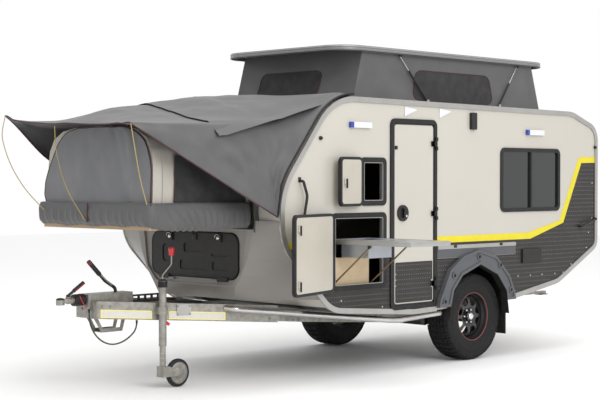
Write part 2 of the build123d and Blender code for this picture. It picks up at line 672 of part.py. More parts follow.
def fly_section(x, edge_y, edge_z, mid_y, mid_z, top_y, top_z):
    """Thin band across the caravan at x: down at both edges, flat on top."""
    right = [(top_y, top_z), (mid_y, mid_z), (edge_y, edge_z)]
    over = [(-y, z) for y, z in right[::-1]] + right
    under = [(y, z - FLY_SHEET) for y, z in over[::-1]]
    yz = Plane(origin=(x, 0, 0), x_dir=(0, 1, 0), z_dir=(1, 0, 0))
    return yz * polygon(over + under)


def bed():
    pin_x, pin_z = BED_PIN
    tray = block(BED_X, (-BED_HALF, BED_HALF), BED_Z)
    for y in (-420, 420):
        tray += block((BED_X[1] - 10, pin_x), (y - 20, y + 20), (pin_z - 10, pin_z + 10))
        tray += bar((pin_x, y - 20, pin_z), (pin_x, y + 20, pin_z), 14)
    export("bed_platform", tray)
    mattress_y = shrink((-BED_HALF, BED_HALF), 24)
    export("mattress", block((BED_X[0] + 30, BED_X[1] - 20), mattress_y, (BED_Z[1], MATTRESS_TOP)))
    out = COVER_OUT
    cover = block((BED_X[0] - out, BED_X[1] - 10), (-BED_HALF - out, BED_HALF + out), COVER_Z)
    cover -= block((BED_X[0] - out + COVER, BED_X[1]), (-BED_HALF - out + COVER, BED_HALF + out - COVER),
                   (COVER_Z[0] - 1, MATTRESS_TOP + SLIDE_GAP))
    cover -= block((BED_X[0] + 60, BED_X[1]), (-BED_HALF + 60, BED_HALF - 60), (MATTRESS_TOP, COVER_Z[1] + 1))
    cover -= block((NOSE_FRONT_X - 6, 0), (-HALF_WIDTH, HALF_WIDTH), (COVER_Z[0] - 1, BED_RECESS_Z + 3))
    export("bed_cover", cover)
    wall_z, eave_z, top_z = COVER_Z[1] + SLIDE_GAP - TENT_SHEET, 1830.0, 2050.0
    right = [(TENT_HALF - 170, top_z), (TENT_HALF - 40, eave_z), (TENT_HALF, wall_z)]
    profile = [(-y, z) for y, z in right[::-1]] + right
    yz = Plane(origin=(TENT_FRONT_X, 0, 0), x_dir=(0, 1, 0), z_dir=(1, 0, 0))
    outer = extrude(yz * polygon(profile), amount=SPLIT_X - 13 - TENT_FRONT_X)
    inner_face = offset(polygon(profile), amount=-TENT_SHEET, kind=Kind.INTERSECTION)
    inner = extrude(yz.offset(TENT_SHEET) * inner_face, amount=1200)
    tent = outer - inner - block((-4000, 0), (-900, 900), (wall_z - 1, wall_z + TENT_SHEET))
    for side in (-1, 1):
        tent -= block((-3280, -2640), (side * 400, side * 700), (wall_z + 30, 1790))
    export("inner_tent", tent)
    export("fly_front", loft([fly_section(*row) for row in FLY_FRONT], ruled=True))
    export("fly_rear", loft([fly_section(*row) for row in fly_rear_rows()], ruled=True))
    rods = []
    for y, tip_y, tip_z in ((-630, -780, 2010), (190, 130, 2028), (630, 780, 2010)):
        foot = (BED_X[0] - COVER_OUT - ROD / 2 - 0.2, y, COVER_Z[1] - 60)
        rods += list(bar(foot, (-3808, tip_y, tip_z), ROD / 2).solids())
    export("spring_rods", Compound(children=rods))


def tread_cuts(half):
    """Slots between the tread's blocks, staggered from row to row."""
    cuts = []
    step = 360 / TREAD_COUNT
    rows = [(-half + 18, 76, 14), (0, 2 * GROOVE_Y, -28), (half - 18, 76, 14)]
    for row, (y, wide, lean) in enumerate(rows):
        slot = Pos(TYRE_R, y, 0) * Rot(lean, 0, 0) * Box(2 * TREAD_DEEP, wide, 15)
        for i in range(TREAD_COUNT):
            cuts.append(Rot(0, step * (i + row / 3), 0) * slot)
    return cuts


def wheels():
    """Tyre as a revolved section, rim as a revolved dish with spokes cut."""
    half = TYRE_WIDE / 2
    right = [(TYRE_R, half - 26), (TYRE_R - 42, half - 2), (300, half), (RIM_R, half - 18)]
    profile = [(r, -y) for r, y in right[::-1]] + right
    section = make_face(FilletPolyline(*profile, close=True, radius=[8, 60, 30, 12, 12, 30, 60, 8]))
    for y in (-GROOVE_Y, GROOVE_Y):
        section -= Pos(TYRE_R, y) * Rectangle(2 * TREAD_DEEP, 2 * GROOVE_HALF)
    tyre = revolve(Plane.XY * section, axis=Axis.Y) - tread_cuts(half)
    barrel = Pos(RIM_R - 7, 0) * Rectangle(14, 2 * half - 24)
    rim = revolve(Plane.XY * barrel, axis=Axis.Y)
    disc = polygon([(HUB_R, -40), (130, -62), (RIM_R - 12, -20), (RIM_R - 12, -8), (130, -50), (HUB_R, -28)])
    rim += revolve(Plane.XY * disc, axis=Axis.Y)
    hub = polygon([(0, -96), (34, -96), (40, -62), (HUB_R + 4, -50), (HUB_R + 4, -26), (0, -26)])
    rim += revolve(Plane.XY * hub, axis=Axis.Y)
    for i in range(8):
        hole = Rot(0, 45 * i + 22.5, 0) * (Pos(166, -40, 0) * Rot(90, 0, 0) * Cylinder(19, 80))
        rim -= hole
    for name, side in (("left", 1), ("right", -1)):
        tilt = Rot(0, 0, 0) if side == 1 else Rot(0, 0, 180)
        place = Pos(0, -side * TRACK_HALF, AXLE_Z) * tilt
        export(f"tyre_{name}", place * tyre)
        export(f"rim_{name}", place * rim)


def axle():
    """Axle tube under the rails, a trailing arm to each wheel and the hub that carries it."""
    pivot_x = -330.0
    pivot_z = sill_z(pivot_x) - RAIL_H - AXLE_TUBE_R - 4
    arm_y = (RAIL_Y + RAIL_W / 2 + 10, TRACK_HALF - TYRE_WIDE / 2 - 15)
    tube = bar((pivot_x, -arm_y[0], pivot_z), (pivot_x, arm_y[0], pivot_z), AXLE_TUBE_R)
    arms = []
    for side in (-1, 1):
        wheel_end = [(40, AXLE_Z - 62), (62, AXLE_Z), (40, AXLE_Z + 62), (-60, AXLE_Z + 40)]
        arm_face = polygon([(pivot_x - 52, pivot_z - 30)] + wheel_end + [(pivot_x - 52, pivot_z + 52)])
        arm = side_prism(arm_face, side * arm_y[0], side * arm_y[1])
        arm += bar((0, side * arm_y[0], AXLE_Z), (0, side * (TRACK_HALF + 26 - SLIDE_GAP), AXLE_Z), 55)
        arms.append(arm)
    saddle = block((pivot_x - 34, pivot_x + 34), (-RAIL_Y - 25, -RAIL_Y + 25), (pivot_z, pivot_z + 60))
    saddle -= chassis_rail()
    export("axle", tube + arms + [saddle, mirror(saddle, about=Plane.XZ)])


def drawbar_rail():
    """Left rail of the A-frame, from the coupling back to the chassis rail."""
    yz = Plane(origin=(0, 0, 0), x_dir=(0, 1, 0), z_dir=(1, 0, 0))
    ends = []
    for x, y, z in ((APEX[0], -APEX[1], APEX[2]), (RAIL_FRONT_X, -RAIL_Y, DRAWBAR_FOOT_Z)):
        ends.append(yz.offset(x) * (Pos(y, z + DRAWBAR_H / 2) * Rectangle(RAIL_W, DRAWBAR_H)))
    return loft(ends, ruled=True)


def drawbar_at(x):
    """Half width to the rail's middle and height of its underside at x."""
    share = (x - APEX[0]) / (RAIL_FRONT_X - APEX[0])
    return APEX[1] + (RAIL_Y - APEX[1]) * share, APEX[2] + (DRAWBAR_FOOT_Z - APEX[2]) * share


def chassis_rail():
    xs = [RAIL_FRONT_X, OUTLINE[3][0], OUTLINE[4][0], OUTLINE[5][0], RAIL_REAR_X]
    tops = [RAIL_FRONT_TOP] + [sill_z(x) for x in xs[1:]]
    face = polygon(list(zip(xs, tops)) + [(x, z - RAIL_H) for x, z in list(zip(xs, tops))[::-1]])
    rail = side_prism(face, -RAIL_Y - RAIL_W / 2, -RAIL_Y + RAIL_W / 2)
    return rail - side_prism(SIDE, -HALF_WIDTH, HALF_WIDTH)


def frame():
    rail = chassis_rail()
    chassis = rail + mirror(rail, about=Plane.XZ)
    for x in (-1900, -1200, -600, 700, 1100):
        low = sill_z(x) - 86
        chassis += block((x - 25, x + 25), (-RAIL_Y + RAIL_W / 2, RAIL_Y - RAIL_W / 2), (low, low + 60))
    steady = block((900, 1480), (-RAIL_Y - RAIL_W / 2 - 40, -RAIL_Y - RAIL_W / 2), (500, 524))
    steady += block((1380, 1480), (-RAIL_Y - RAIL_W / 2 - 60, -RAIL_Y - RAIL_W / 2 + 20), (488, 500))
    export("chassis", chassis + steady + mirror(steady, about=Plane.XZ))
    rail = drawbar_rail()
    clip_x, clip_y, clip_z = CABLE_ROUTE[-1]
    clip = bar((clip_x, clip_y, clip_z), (clip_x, clip_y, clip_z + 20), CABLE_R + 3)
    right = mirror(rail, about=Plane.XZ)
    export("drawbar_rails", Compound(children=list((rail + clip).solids()) + list(right.solids())))


def coupling():
    """Overrun coupling with its ball socket, levers, bellows and step."""
    half = APEX[1] - RAIL_W / 2
    body = block((-3640, -3210), (-half, half), (640, 742))
    body += block((APEX[0] - 12, APEX[0]), (-half - RAIL_W, half + RAIL_W), (APEX[2], 690))
    body += bar((-3790, 0, COUPLING_Z), (-3640, 0, COUPLING_Z), 26)
    outer_r = BALL_R + SOCKET_WALL
    socket_top = COUPLING_Z + 3
    body += Pos(COUPLING_X, 0, socket_top + SOCKET_WALL - (SOCKET_DEEP + SOCKET_WALL) / 2) * Cylinder(
        outer_r, SOCKET_DEEP + SOCKET_WALL)
    body += block((COUPLING_X + 12, -3780), (-24, 24), (COUPLING_Z - 18, COUPLING_Z + 16))
    body += block((-3796, -3764), (-12, 12), (COUPLING_Z, 728))
    body -= Pos(COUPLING_X, 0, socket_top - SOCKET_DEEP / 2 - 20) * Cylinder(BALL_R, SOCKET_DEEP + 40)
    gland = CABLE_ROUTE[0]
    body += bar(gland, (gland[0], gland[1], 641), CABLE_R + 3)
    step = block((-3500, -3300), (-48, 48), (440, 446))
    cheek = polygon([(-3500, 440), (-3300, 440), (-3240, 641), (-3630, 641)])
    cheek -= polygon([(-3490, 470), (-3320, 470), (-3280, 645), (-3590, 645)])
    for y in (-48, 42):
        step += side_prism(cheek, y, y + 6)
    export("coupling", body + step)
    lever = bar((-3780, 0, 738), (-3636, 0, 830), 11) + block((-3792, -3768), (-11, 11), (728, 744))
    lever += bar((-3730, 0, 770), (-3636, 0, 830), 15)
    brake = bent_tube([(-3330, 0, 742), (-3330, 0, 772), (-3430, 0, 832), (-3580, 0, 980)], [40, 100], 13)
    brake += bar((-3485, 0, 886), (-3588, 0, 988), 18)
    export("coupling_levers", Compound(children=list(lever.solids()) + list(brake.solids())))
    bellows = bar((-3735, 0, COUPLING_Z), (-3640, 0, COUPLING_Z), 44, 26)
    slots = block((-3190, -2915), (-35, -29), (655, 715))
    for i in range(4):
        x = -3180 + 66 * i
        slots -= block((x, x + 44), (-40, -20), (672, 700))
    bracket = slots + block((-3210, -2915), (-35, 35), (649, 655))
    deck_x = (-2900.0, -2620.0)
    tops = [drawbar_at(x)[1] + DRAWBAR_H for x in deck_x]
    deck = side_prism(polygon([(deck_x[0], tops[0]), (deck_x[1], tops[1]), (deck_x[1], tops[1] + 4),
                               (deck_x[0], tops[0] + 4)]), -330, 330)
    pieces = list(bellows.solids()) + list(bracket.solids()) + list(deck.solids())
    export("drawbar_fittings", Compound(children=pieces))
    breakaway_cable()


def breakaway_cable():
    """Cable that hangs between the coupling and the left rail, its arcs as large as the runs allow."""
    points = [Vector(*p) for p in CABLE_ROUTE]
    radii = []
    for a, b, c in zip(points, points[1:], points[2:]):
        shorter = min((b - a).length, (c - b).length)
        turn = math.radians((b - a).get_angle(c - b))
        radii.append(0.45 * shorter / math.tan(turn / 2))
    path = FilletPolyline(*CABLE_ROUTE, radius=radii)
    cable = sweep(Plane(origin=path @ 0, z_dir=path % 0) * Circle(CABLE_R), path=path)
    export("breakaway_cable", cable)
    print("cable radii", [round(r) for r in radii], "length", round(path.length))
    print("cable volume share", round(cable.volume / (math.pi * CABLE_R ** 2 * path.length), 4))


def jockey():
    """Jockey wheel: clamped tube with its crank, and the leg with the swivelling fork and wheel."""
    half_y, _ = drawbar_at(JOCKEY_X)
    rail_face = -half_y - RAIL_W / 2
    y = rail_face - JOCKEY_OUT
    tube = bar((JOCKEY_X, y, 330), (JOCKEY_X, y, 800), JOCKEY_TUBE_R)
    tube += bar((JOCKEY_X, y, 780), (JOCKEY_X, y, 836), 36)
    tube += bar((JOCKEY_X, y, 575), (JOCKEY_X, y, 635), JOCKEY_TUBE_R + 10)
    tube += block((JOCKEY_X - 28, JOCKEY_X + 28), (y, rail_face + 20), (575, 635)) - drawbar_rail()
    tube -= bar((JOCKEY_X, y, 329), (JOCKEY_X, y, 700), JOCKEY_LEG_R + 0.4)
    crank_x = JOCKEY_X + 90
    crank = [(JOCKEY_X, y, 830), (JOCKEY_X, y, 880), (crank_x, y, 960), (crank_x, y, 1030)]
    tube += bent_tube(crank, [20, 20], 6)
    knob = bar((crank_x, y, 1030), (crank_x, y, 1090), 20)
    handle = bar((JOCKEY_X + 20, y, 520), (JOCKEY_X + 62, y, 494), 13)
    handle -= bar((JOCKEY_X, y, 400), (JOCKEY_X, y, 600), JOCKEY_TUBE_R)
    export("jockey_tube", tube)
    export("jockey_knobs", Compound(children=list(knob.solids()) + list(handle.solids())))
    half = JOCKEY_WHEEL_W / 2
    foot_z = JOCKEY_WHEEL_R - 20
    leg = bar((JOCKEY_X, y, foot_z), (JOCKEY_X, y, 690), JOCKEY_LEG_R)
    for side in (-1, 1):
        cheek_y = y + side * (half + 8)
        leg += side_prism(polygon([(JOCKEY_X - 26, foot_z), (JOCKEY_X + JOCKEY_TRAIL + 14, foot_z + 2),
                                   (JOCKEY_X + JOCKEY_TRAIL + 14, foot_z + 36), (JOCKEY_X + 34, foot_z + 82),
                                   (JOCKEY_X - 26, foot_z + 82)]), cheek_y - 2, cheek_y + 2)
    leg += block((JOCKEY_X - 26, JOCKEY_X - 22), (y - half - 10, y + half + 10), (foot_z, foot_z + 82))
    leg += block((JOCKEY_X - 26, JOCKEY_X + 26), (y - half - 10, y + half + 10), (foot_z + 76, foot_z + 82))
    axle_x = JOCKEY_X + JOCKEY_TRAIL
    leg += bar((axle_x, y - half - 12, JOCKEY_WHEEL_R), (axle_x, y + half + 12, JOCKEY_WHEEL_R), 8)
    export("jockey_fork", leg)
    bore = 8 + RUNNING_GAP
    upper = [(JOCKEY_WHEEL_R, half - 14), (86, half - 10), (44, half - 10), (36, half), (bore, half)]
    profile = [(r, -w) for r, w in upper[::-1]] + upper
    section = make_face(FilletPolyline(*profile, close=True, radius=[1, 3, 3, 4, 12, 12, 4, 3, 3, 1]))
    wheel = Pos(axle_x, y, JOCKEY_WHEEL_R) * revolve(Plane.XY * section, axis=Axis.Y)
    export("jockey_wheel", wheel)


def trim():
    """Lamps, handles, vent, brackets and tubes on the body."""
    white = []
    for x, z in (((-1709, -1455), (2040, 2086)), ((700, 966), (2030, 2078))):
        white.append(side_prism(rounded(x, z, 6), LEFT - 26, LEFT))
    for x in (-1020, -560):
        tip = [(x + 16, 2230), (x + 150, 2215), (x + 150, 2205), (x + 20, 2160)]
        arm = polygon([(x, 2230)] + tip + [(x, 2150)])
        white.append(side_prism(arm, LEFT - 8, LEFT))
    export("light_bars", Compound(children=[s for w in white for s in w.solids()]))
    skin = LEFT - PLATE_THICK
    dark = [side_prism(rounded((-137, -63), (2060, 2210), 10), LEFT - 30, LEFT),
            side_prism(rounded((637, 928), (843, 973), 8), skin - 20, skin)]
    for ends, middle, y in ((((-2277, 1606), (-2268, 1322)), [(-2232, 1490)], LEFT),
                            (((1564, 1163), (1815, 1233)), [], skin)):
        out = [(x, y - 44, z) for x, z in [ends[0]] + middle + [ends[1]]]
        route = [(ends[0][0], y, ends[0][1])] + out + [(ends[1][0], y, ends[1][1])]
        dark.append(bent_tube(route, [13] + [90] * len(middle) + [13], 11))
    export("side_trim", Compound(children=[s for d in dark for s in d.solids()]))
    rear_lamps = []
    for side in (-1, 1):
        rear_lamps.append(Pos(1876 + 9, side * 800, 1180) * Box(18, 90, 190))
    export("rear_lamps", rear_lamps[0] + rear_lamps[1:])
    route = [(-2600, -465, 599), (-2568, -545, 592), (-1080, -940, 428), (-500, -940, 452)]
    tube = bent_tube(route, [60, 500], 24)
    tube -= drawbar_rail()
    tube += block((-1010, -990), (-940, -RAIL_Y - RAIL_W / 2), (404, 420))
    export("side_tubes", both(tube))


def main():
    os.makedirs("parts", exist_ok=True)
    cabin()
    edge_rails()
    plates()
    flares()
    frames = [entry_door(), hatch("kitchen_hatch", KITCHEN_X, KITCHEN_Z, KITCHEN_OPEN, (790, 1220)),
              hatch("small_hatch", SMALL_X, SMALL_Z, SMALL_OPEN, (1580,))]
    export("opening_frames", Compound(children=[s for f in frames for s in f.solids()]))
    windows()
    nose()
    kitchen()
    pop_top()
    strut_feet()
    bed()
    wheels()
    axle()
    frame()
    coupling()
    jockey()
    trim()


main()
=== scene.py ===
"""Looks of the off-road caravan: surfaces, canvas, tread, studs, piping, lamps and light.

Sizes are in metres about the caravan's axle: x runs rearward, y to its right and z up.
at() moves such a point into the frame's own place.
"""

import json
import math

import bmesh
import bpy
from mathutils import Matrix, Vector, noise
from mathutils.bvhtree import BVHTree


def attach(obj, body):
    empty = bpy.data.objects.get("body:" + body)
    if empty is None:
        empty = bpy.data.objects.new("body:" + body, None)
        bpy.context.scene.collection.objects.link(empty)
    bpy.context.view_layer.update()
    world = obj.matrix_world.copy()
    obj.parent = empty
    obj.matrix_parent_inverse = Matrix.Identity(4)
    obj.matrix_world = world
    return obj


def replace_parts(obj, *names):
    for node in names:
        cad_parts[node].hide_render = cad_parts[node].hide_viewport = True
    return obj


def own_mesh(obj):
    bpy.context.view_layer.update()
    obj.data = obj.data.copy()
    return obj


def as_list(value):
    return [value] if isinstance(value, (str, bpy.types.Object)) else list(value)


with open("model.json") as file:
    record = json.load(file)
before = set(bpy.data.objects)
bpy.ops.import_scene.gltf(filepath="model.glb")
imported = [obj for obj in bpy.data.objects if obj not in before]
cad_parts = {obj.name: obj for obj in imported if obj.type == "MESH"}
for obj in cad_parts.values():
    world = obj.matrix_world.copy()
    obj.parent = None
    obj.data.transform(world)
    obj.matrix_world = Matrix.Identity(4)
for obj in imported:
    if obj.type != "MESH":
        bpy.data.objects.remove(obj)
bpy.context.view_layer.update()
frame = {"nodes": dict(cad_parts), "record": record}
nodes = frame["nodes"]

SHIFT = Vector((0.9957, 0.3775, 0.0))
HALF_WIDTH = 0.975
LEFT = -HALF_WIDTH
HANDS = (("left", -1), ("right", 1))


def at(x, y, z):
    return Vector((x, y, z)) + SHIFT


# Surfaces
def surface(colour, other, scale, rough, metal=0.0, bumps=(), share=0.5, coat=0.0, rough_span=0.0, sheen=0.0,
            shine=0.5, through=0.0):
    """Surface whose colour drifts to another, with layers of bump: kind, scale, strength, depth."""
    material = bpy.data.materials.new("surface")
    material.use_nodes = True
    tree, wires = material.node_tree.nodes, material.node_tree.links
    shader = tree["Principled BSDF"]
    for socket, value in (("Base Color", (*colour, 1)), ("Roughness", rough), ("Metallic", metal),
                          ("Coat Weight", coat), ("Sheen Weight", sheen), ("Specular IOR Level", shine),
                          ("Transmission Weight", through)):
        shader.inputs[socket].default_value = value
    place = tree.new("ShaderNodeTexCoord")
    if other:
        cloud = tree.new("ShaderNodeTexNoise")
        cloud.inputs["Scale"].default_value = scale
        cloud.inputs["Detail"].default_value = 5
        wires.new(place.outputs["Object"], cloud.inputs["Vector"])
        ramp = tree.new("ShaderNodeValToRGB")
        for stop, spot, tint in zip(ramp.color_ramp.elements, (0.5 - share / 2, 0.5 + share / 2),
                                    (other, colour)):
            stop.position = spot
            stop.color = (*tint, 1)
        wires.new(cloud.outputs["Fac"], ramp.inputs["Fac"])
        wires.new(ramp.outputs["Color"], shader.inputs["Base Color"])
    if rough_span:
        grain = tree.new("ShaderNodeTexNoise")
        grain.inputs["Scale"].default_value = 40
        wires.new(place.outputs["Object"], grain.inputs["Vector"])
        spread = tree.new("ShaderNodeMapRange")
        spread.inputs["To Min"].default_value = rough - rough_span
        spread.inputs["To Max"].default_value = rough + rough_span
        wires.new(grain.outputs["Fac"], spread.inputs["Value"])
        wires.new(spread.outputs["Result"], shader.inputs["Roughness"])
    last = None
    for kind, size, strength, depth in bumps:
        if kind == "noise":
            source = tree.new("ShaderNodeTexNoise")
            source.inputs["Detail"].default_value = 4
        elif kind == "cells":
            source = tree.new("ShaderNodeTexVoronoi")
        else:
            source = tree.new("ShaderNodeTexWave")
            source.bands_direction = kind
        source.inputs["Scale"].default_value = size
        wires.new(place.outputs["Object"], source.inputs["Vector"])
        bump = tree.new("ShaderNodeBump")
        bump.inputs["Strength"].default_value = strength
        bump.inputs["Distance"].default_value = depth
        wires.new(source.outputs["Distance" if kind == "cells" else "Fac"], bump.inputs["Height"])
        if last:
            wires.new(last.outputs["Normal"], bump.inputs["Normal"])
        wires.new(bump.outputs["Normal"], shader.inputs["Normal"])
        last = bump
    return material


def grained(colour, other, scale, rough, grain, **more):
    """Surface with one layer of fine noise: scale, strength, depth."""
    return surface(colour, other, scale, rough, bumps=[("noise", *grain)], **more)


def canvas(colour, other, rough=0.8):
    """Coated canvas: fine weave both ways, small creases and a soft drift of colour."""
    weave = [("X", 420, 0.12, 0.0006), ("Z", 420, 0.12, 0.0006), ("noise", 14, 0.25, 0.006),
             ("noise", 60, 0.12, 0.002)]
    return surface(colour, other, 5, rough, bumps=weave, sheen=0.15)


MATERIALS = {
    "body_white": grained((0.475, 0.452, 0.402), (0.45, 0.427, 0.378), 1.3, 0.28, (160, 0.03, 0.0008),
                          share=0.6, coat=0.35),
    "body_grey": grained((0.22, 0.208, 0.192), (0.195, 0.184, 0.168), 3, 0.42, (380, 0.1, 0.0006), coat=0.15),
    "moulding": grained((0.42, 0.41, 0.39), (0.36, 0.35, 0.335), 9, 0.36, (240, 0.04, 0.0004), metal=0.7,
                        rough_span=0.06),
    "checker": grained((0.036, 0.032, 0.031), (0.028, 0.025, 0.024), 4, 0.45, (300, 0.06, 0.0005), metal=0.1,
                       shine=0.3),
    "stripe": surface((0.66, 0.56, 0.004), (0.60, 0.51, 0.004), 12, 0.4),
    "flare_grey": grained((0.085, 0.088, 0.095), (0.07, 0.073, 0.08), 6, 0.55, (700, 0.2, 0.0006)),
    "rubber_black": grained((0.012, 0.012, 0.013), (0.020, 0.020, 0.021), 20, 0.5, (300, 0.1, 0.0005),
                            share=0.4, shine=0.25),
    "plastic_black": grained((0.013, 0.012, 0.012), (0.020, 0.019, 0.018), 15, 0.45, (800, 0.15, 0.0004),
                             shine=0.3),
    "plastic_white": surface((0.66, 0.67, 0.69), (0.60, 0.61, 0.63), 15, 0.25),
    "lamp_red": surface((0.55, 0.02, 0.015), None, 1, 0.15, coat=0.3, through=0.25),
    "knob_red": surface((0.62, 0.015, 0.02), (0.5, 0.01, 0.015), 30, 0.3, coat=0.4),
    "glass_dark": surface((0.010, 0.012, 0.011), None, 1, 0.03, coat=0.3, through=0.05),
    "tyre": grained((0.011, 0.011, 0.0115), (0.018, 0.0175, 0.017), 25, 0.72, (220, 0.25, 0.001), shine=0.2),
    "rim_black": surface((0.014, 0.014, 0.015), (0.022, 0.022, 0.023), 18, 0.33, 0.2, coat=0.4),
    # Bluish grey of the pop-top roof: painted shade with a painted sky reflection on the white roof
    "roof_grey": grained((0.17, 0.176, 0.19), (0.15, 0.155, 0.168), 3, 0.42, (200, 0.04, 0.0005), metal=0.2,
                         coat=0.2),
    "galvanised": surface((0.34, 0.325, 0.295), (0.23, 0.22, 0.20), 26, 0.45, 0.7,
                          [("cells", 90, 0.05, 0.0006)], share=0.35, rough_span=0.12),
    "tube_steel": surface((0.62, 0.61, 0.60), (0.50, 0.49, 0.48), 10, 0.24, 0.95, [("X", 30, 0.03, 0.0005)],
                          rough_span=0.08),
    "board_metal": surface((0.42, 0.44, 0.47), (0.36, 0.38, 0.41), 8, 0.34, 0.7, [("X", 240, 0.05, 0.0003)],
                           rough_span=0.08),
    "bronze": surface((0.22, 0.15, 0.085), (0.17, 0.115, 0.06), 20, 0.38, 0.6),
    "bamboo": surface((0.62, 0.49, 0.32), (0.50, 0.37, 0.22), 7, 0.55, bumps=[("Z", 30, 0.1, 0.001)],
                      share=0.6),
    "inner_beige": grained((0.44, 0.41, 0.35), (0.41, 0.38, 0.32), 6, 0.4, (400, 0.06, 0.0004)),
    "canvas_grey": canvas((0.088, 0.086, 0.089), (0.068, 0.067, 0.069), 0.62),
    "canvas_cream": canvas((0.44, 0.415, 0.37), (0.38, 0.36, 0.315)),
    "foam": canvas((0.62, 0.60, 0.55), (0.56, 0.54, 0.49)),
    "rod_tan": surface((0.42, 0.31, 0.10), (0.34, 0.25, 0.08), 40, 0.4, coat=0.3),
    "tan_board": surface((0.40, 0.28, 0.17), (0.32, 0.22, 0.13), 6, 0.55, bumps=[("Y", 24, 0.08, 0.001)]),
    "cable_black": surface((0.018, 0.018, 0.02), (0.03, 0.03, 0.03), 50, 0.5),
}
# Looks that differ from their slot's own: a material and the slot
PIPING = (surface((0.055, 0.012, 0.018), (0.04, 0.01, 0.014), 60, 0.6, bumps=[("X", 600, 0.1, 0.0004)]), None)
MESH_BLACK = (surface((0.012, 0.012, 0.013), (0.03, 0.03, 0.032), 12, 0.75,
                      bumps=[("X", 500, 0.3, 0.0008), ("Z", 500, 0.3, 0.0008),
                             ("noise", 9, 0.5, 0.02)]), None)
FLAP_GREY = (canvas((0.15, 0.152, 0.158), (0.115, 0.117, 0.122), 0.5), None)
REFLECT_WHITE = (surface((0.62, 0.61, 0.56), (0.56, 0.55, 0.50), 60, 0.3), "plastic_white")
REFLECT_YELLOW = (surface((0.95, 0.80, 0.05), (0.88, 0.72, 0.04), 60, 0.3, coat=0.4), "stripe")
CHROME = (surface((0.75, 0.75, 0.76), (0.66, 0.66, 0.67), 30, 0.12, 1.0), "tube_steel")
# Lighter copy of the checker colour for the studs of one lean: painted highlight where those studs catch the
# light
STUD_PAINTED_GLINT = (surface((0.26, 0.25, 0.245), (0.13, 0.125, 0.12), 14, 0.4, 0.3, share=0.6), "checker")
LAMP_BLUE = (surface((0.02, 0.05, 0.35), (0.015, 0.04, 0.28), 40, 0.3, coat=0.3), "plastic_white")
PINSTRIPE = (surface((0.45, 0.03, 0.02), (0.36, 0.02, 0.015), 40, 0.4), "knob_red")
LEVER_BLACK = (MATERIALS["rubber_black"], "plastic_black")
TABLE_GREY = (MATERIALS["flare_grey"], "body_grey")

for name, material in MATERIALS.items():
    material.name = name
for entry in frame["record"]["subparts"]:
    node_materials = nodes[entry["node"]].data.materials
    node_materials.clear()
    node_materials.append(MATERIALS[entry["material_slot"]])


# Building helpers. A look is a slot's name, or a material and a slot.
def mix(a, b, t):
    return a + (b - a) * t


def smoothed(t):
    return t * t * (3 - 2 * t)


def clamp(t):
    return max(0.0, min(1.0, t))


def inset(pair, by):
    return pair[0] + by, pair[1] - by


def stations(a, b, step=0.05):
    count = max(2, round(abs(b - a) / step))
    return [mix(a, b, i / count) for i in range(count + 1)]


def through(table, x):
    """Values between the table's rows, straight in x."""
    for low, high in zip(table, table[1:]):
        if x <= high[0]:
            break
    t = clamp((x - low[0]) / (high[0] - low[0]))
    return [mix(a, b, t) for a, b in zip(low[1:], high[1:])]


def crease(x, y, z, size, depth):
    return depth * noise.fractal(Vector((x, y, z)) * size, 0.8, 2.1, 3)


def rounded(line, times):
    """Line of points with its bends eased, and its ends kept."""
    for _ in range(times):
        line = [line[0]] + [(a + b * 2 + c) / 4 for a, b, c in zip(line, line[1:], line[2:])] + [line[-1]]
    return line


def carried(name, mesh, look, body):
    """Piece of that mesh and look that rides on a body."""
    material, slot = look if isinstance(look, tuple) else (MATERIALS[look], look)
    mesh.materials.clear()
    mesh.materials.append(material)
    piece = bpy.data.objects.new(name, mesh)
    bpy.context.collection.objects.link(piece)
    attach(piece, body)
    return piece


def new_object(name, vertices, faces, look, body, smooth=True):
    mesh = bpy.data.meshes.new(name)
    mesh.from_pydata([tuple(v) for v in vertices], [], faces)
    mesh.update()
    if smooth:
        mesh.shade_smooth()
    return carried(name, mesh, look, body)


def settle(piece):
    """Turns the piece's modifiers into its final mesh."""
    bpy.context.view_layer.update()
    graph = bpy.context.evaluated_depsgraph_get()
    final = bpy.data.meshes.new_from_object(piece.evaluated_get(graph))
    piece.modifiers.clear()
    piece.data = final


def soften(piece, width, segments=2, limit=30):
    bevel = piece.modifiers.new("bevel", "BEVEL")
    bevel.width = width
    bevel.segments = segments
    bevel.angle_limit = math.radians(limit)
    settle(piece)


def net(count, wide, closed=False):
    """Faces between count rows of wide points each."""
    faces = []
    for i in range(count - 1):
        for j in range(wide if closed else wide - 1):
            k = (j + 1) % wide
            faces.append((i * wide + j, i * wide + k, (i + 1) * wide + k, (i + 1) * wide + j))
    return faces


def sheet(name, rows, thick, look, body, levels=1, close=False):
    """Sheet through rows of points, given a thickness and smoothed."""
    vertices = [point for row in rows for point in row]
    piece = new_object(name, vertices, net(len(rows), len(rows[0]), close), look, body)
    solid = piece.modifiers.new("thick", "SOLIDIFY")
    solid.thickness = thick
    solid.offset = 0.0
    solid.edge_crease_inner = solid.edge_crease_outer = solid.edge_crease_rim = 1.0
    if levels:
        smooth = piece.modifiers.new("smooth", "SUBSURF")
        smooth.levels = smooth.render_levels = levels
    settle(piece)
    piece.data.shade_smooth()
    piece.data.set_sharp_from_angle(angle=math.radians(60))
    return piece


def cord_along(name, points, radius, look, body, cyclic=False):
    """Round bead or wire along points."""
    curve = bpy.data.curves.new(name, "CURVE")
    curve.dimensions = "3D"
    curve.bevel_depth = radius
    curve.bevel_resolution = 2
    line = curve.splines.new("POLY")
    line.points.add(len(points) - 1)
    for place, point in zip(line.points, points):
        place.co = (*point, 1)
    line.use_cyclic_u = cyclic
    holder = bpy.data.objects.new(name + "_line", curve)
    bpy.context.collection.objects.link(holder)
    bpy.context.view_layer.update()
    mesh = bpy.data.meshes.new_from_object(holder.evaluated_get(bpy.context.evaluated_depsgraph_get()))
    bpy.data.objects.remove(holder)
    mesh.shade_smooth()
    return carried(name, mesh, look, body)


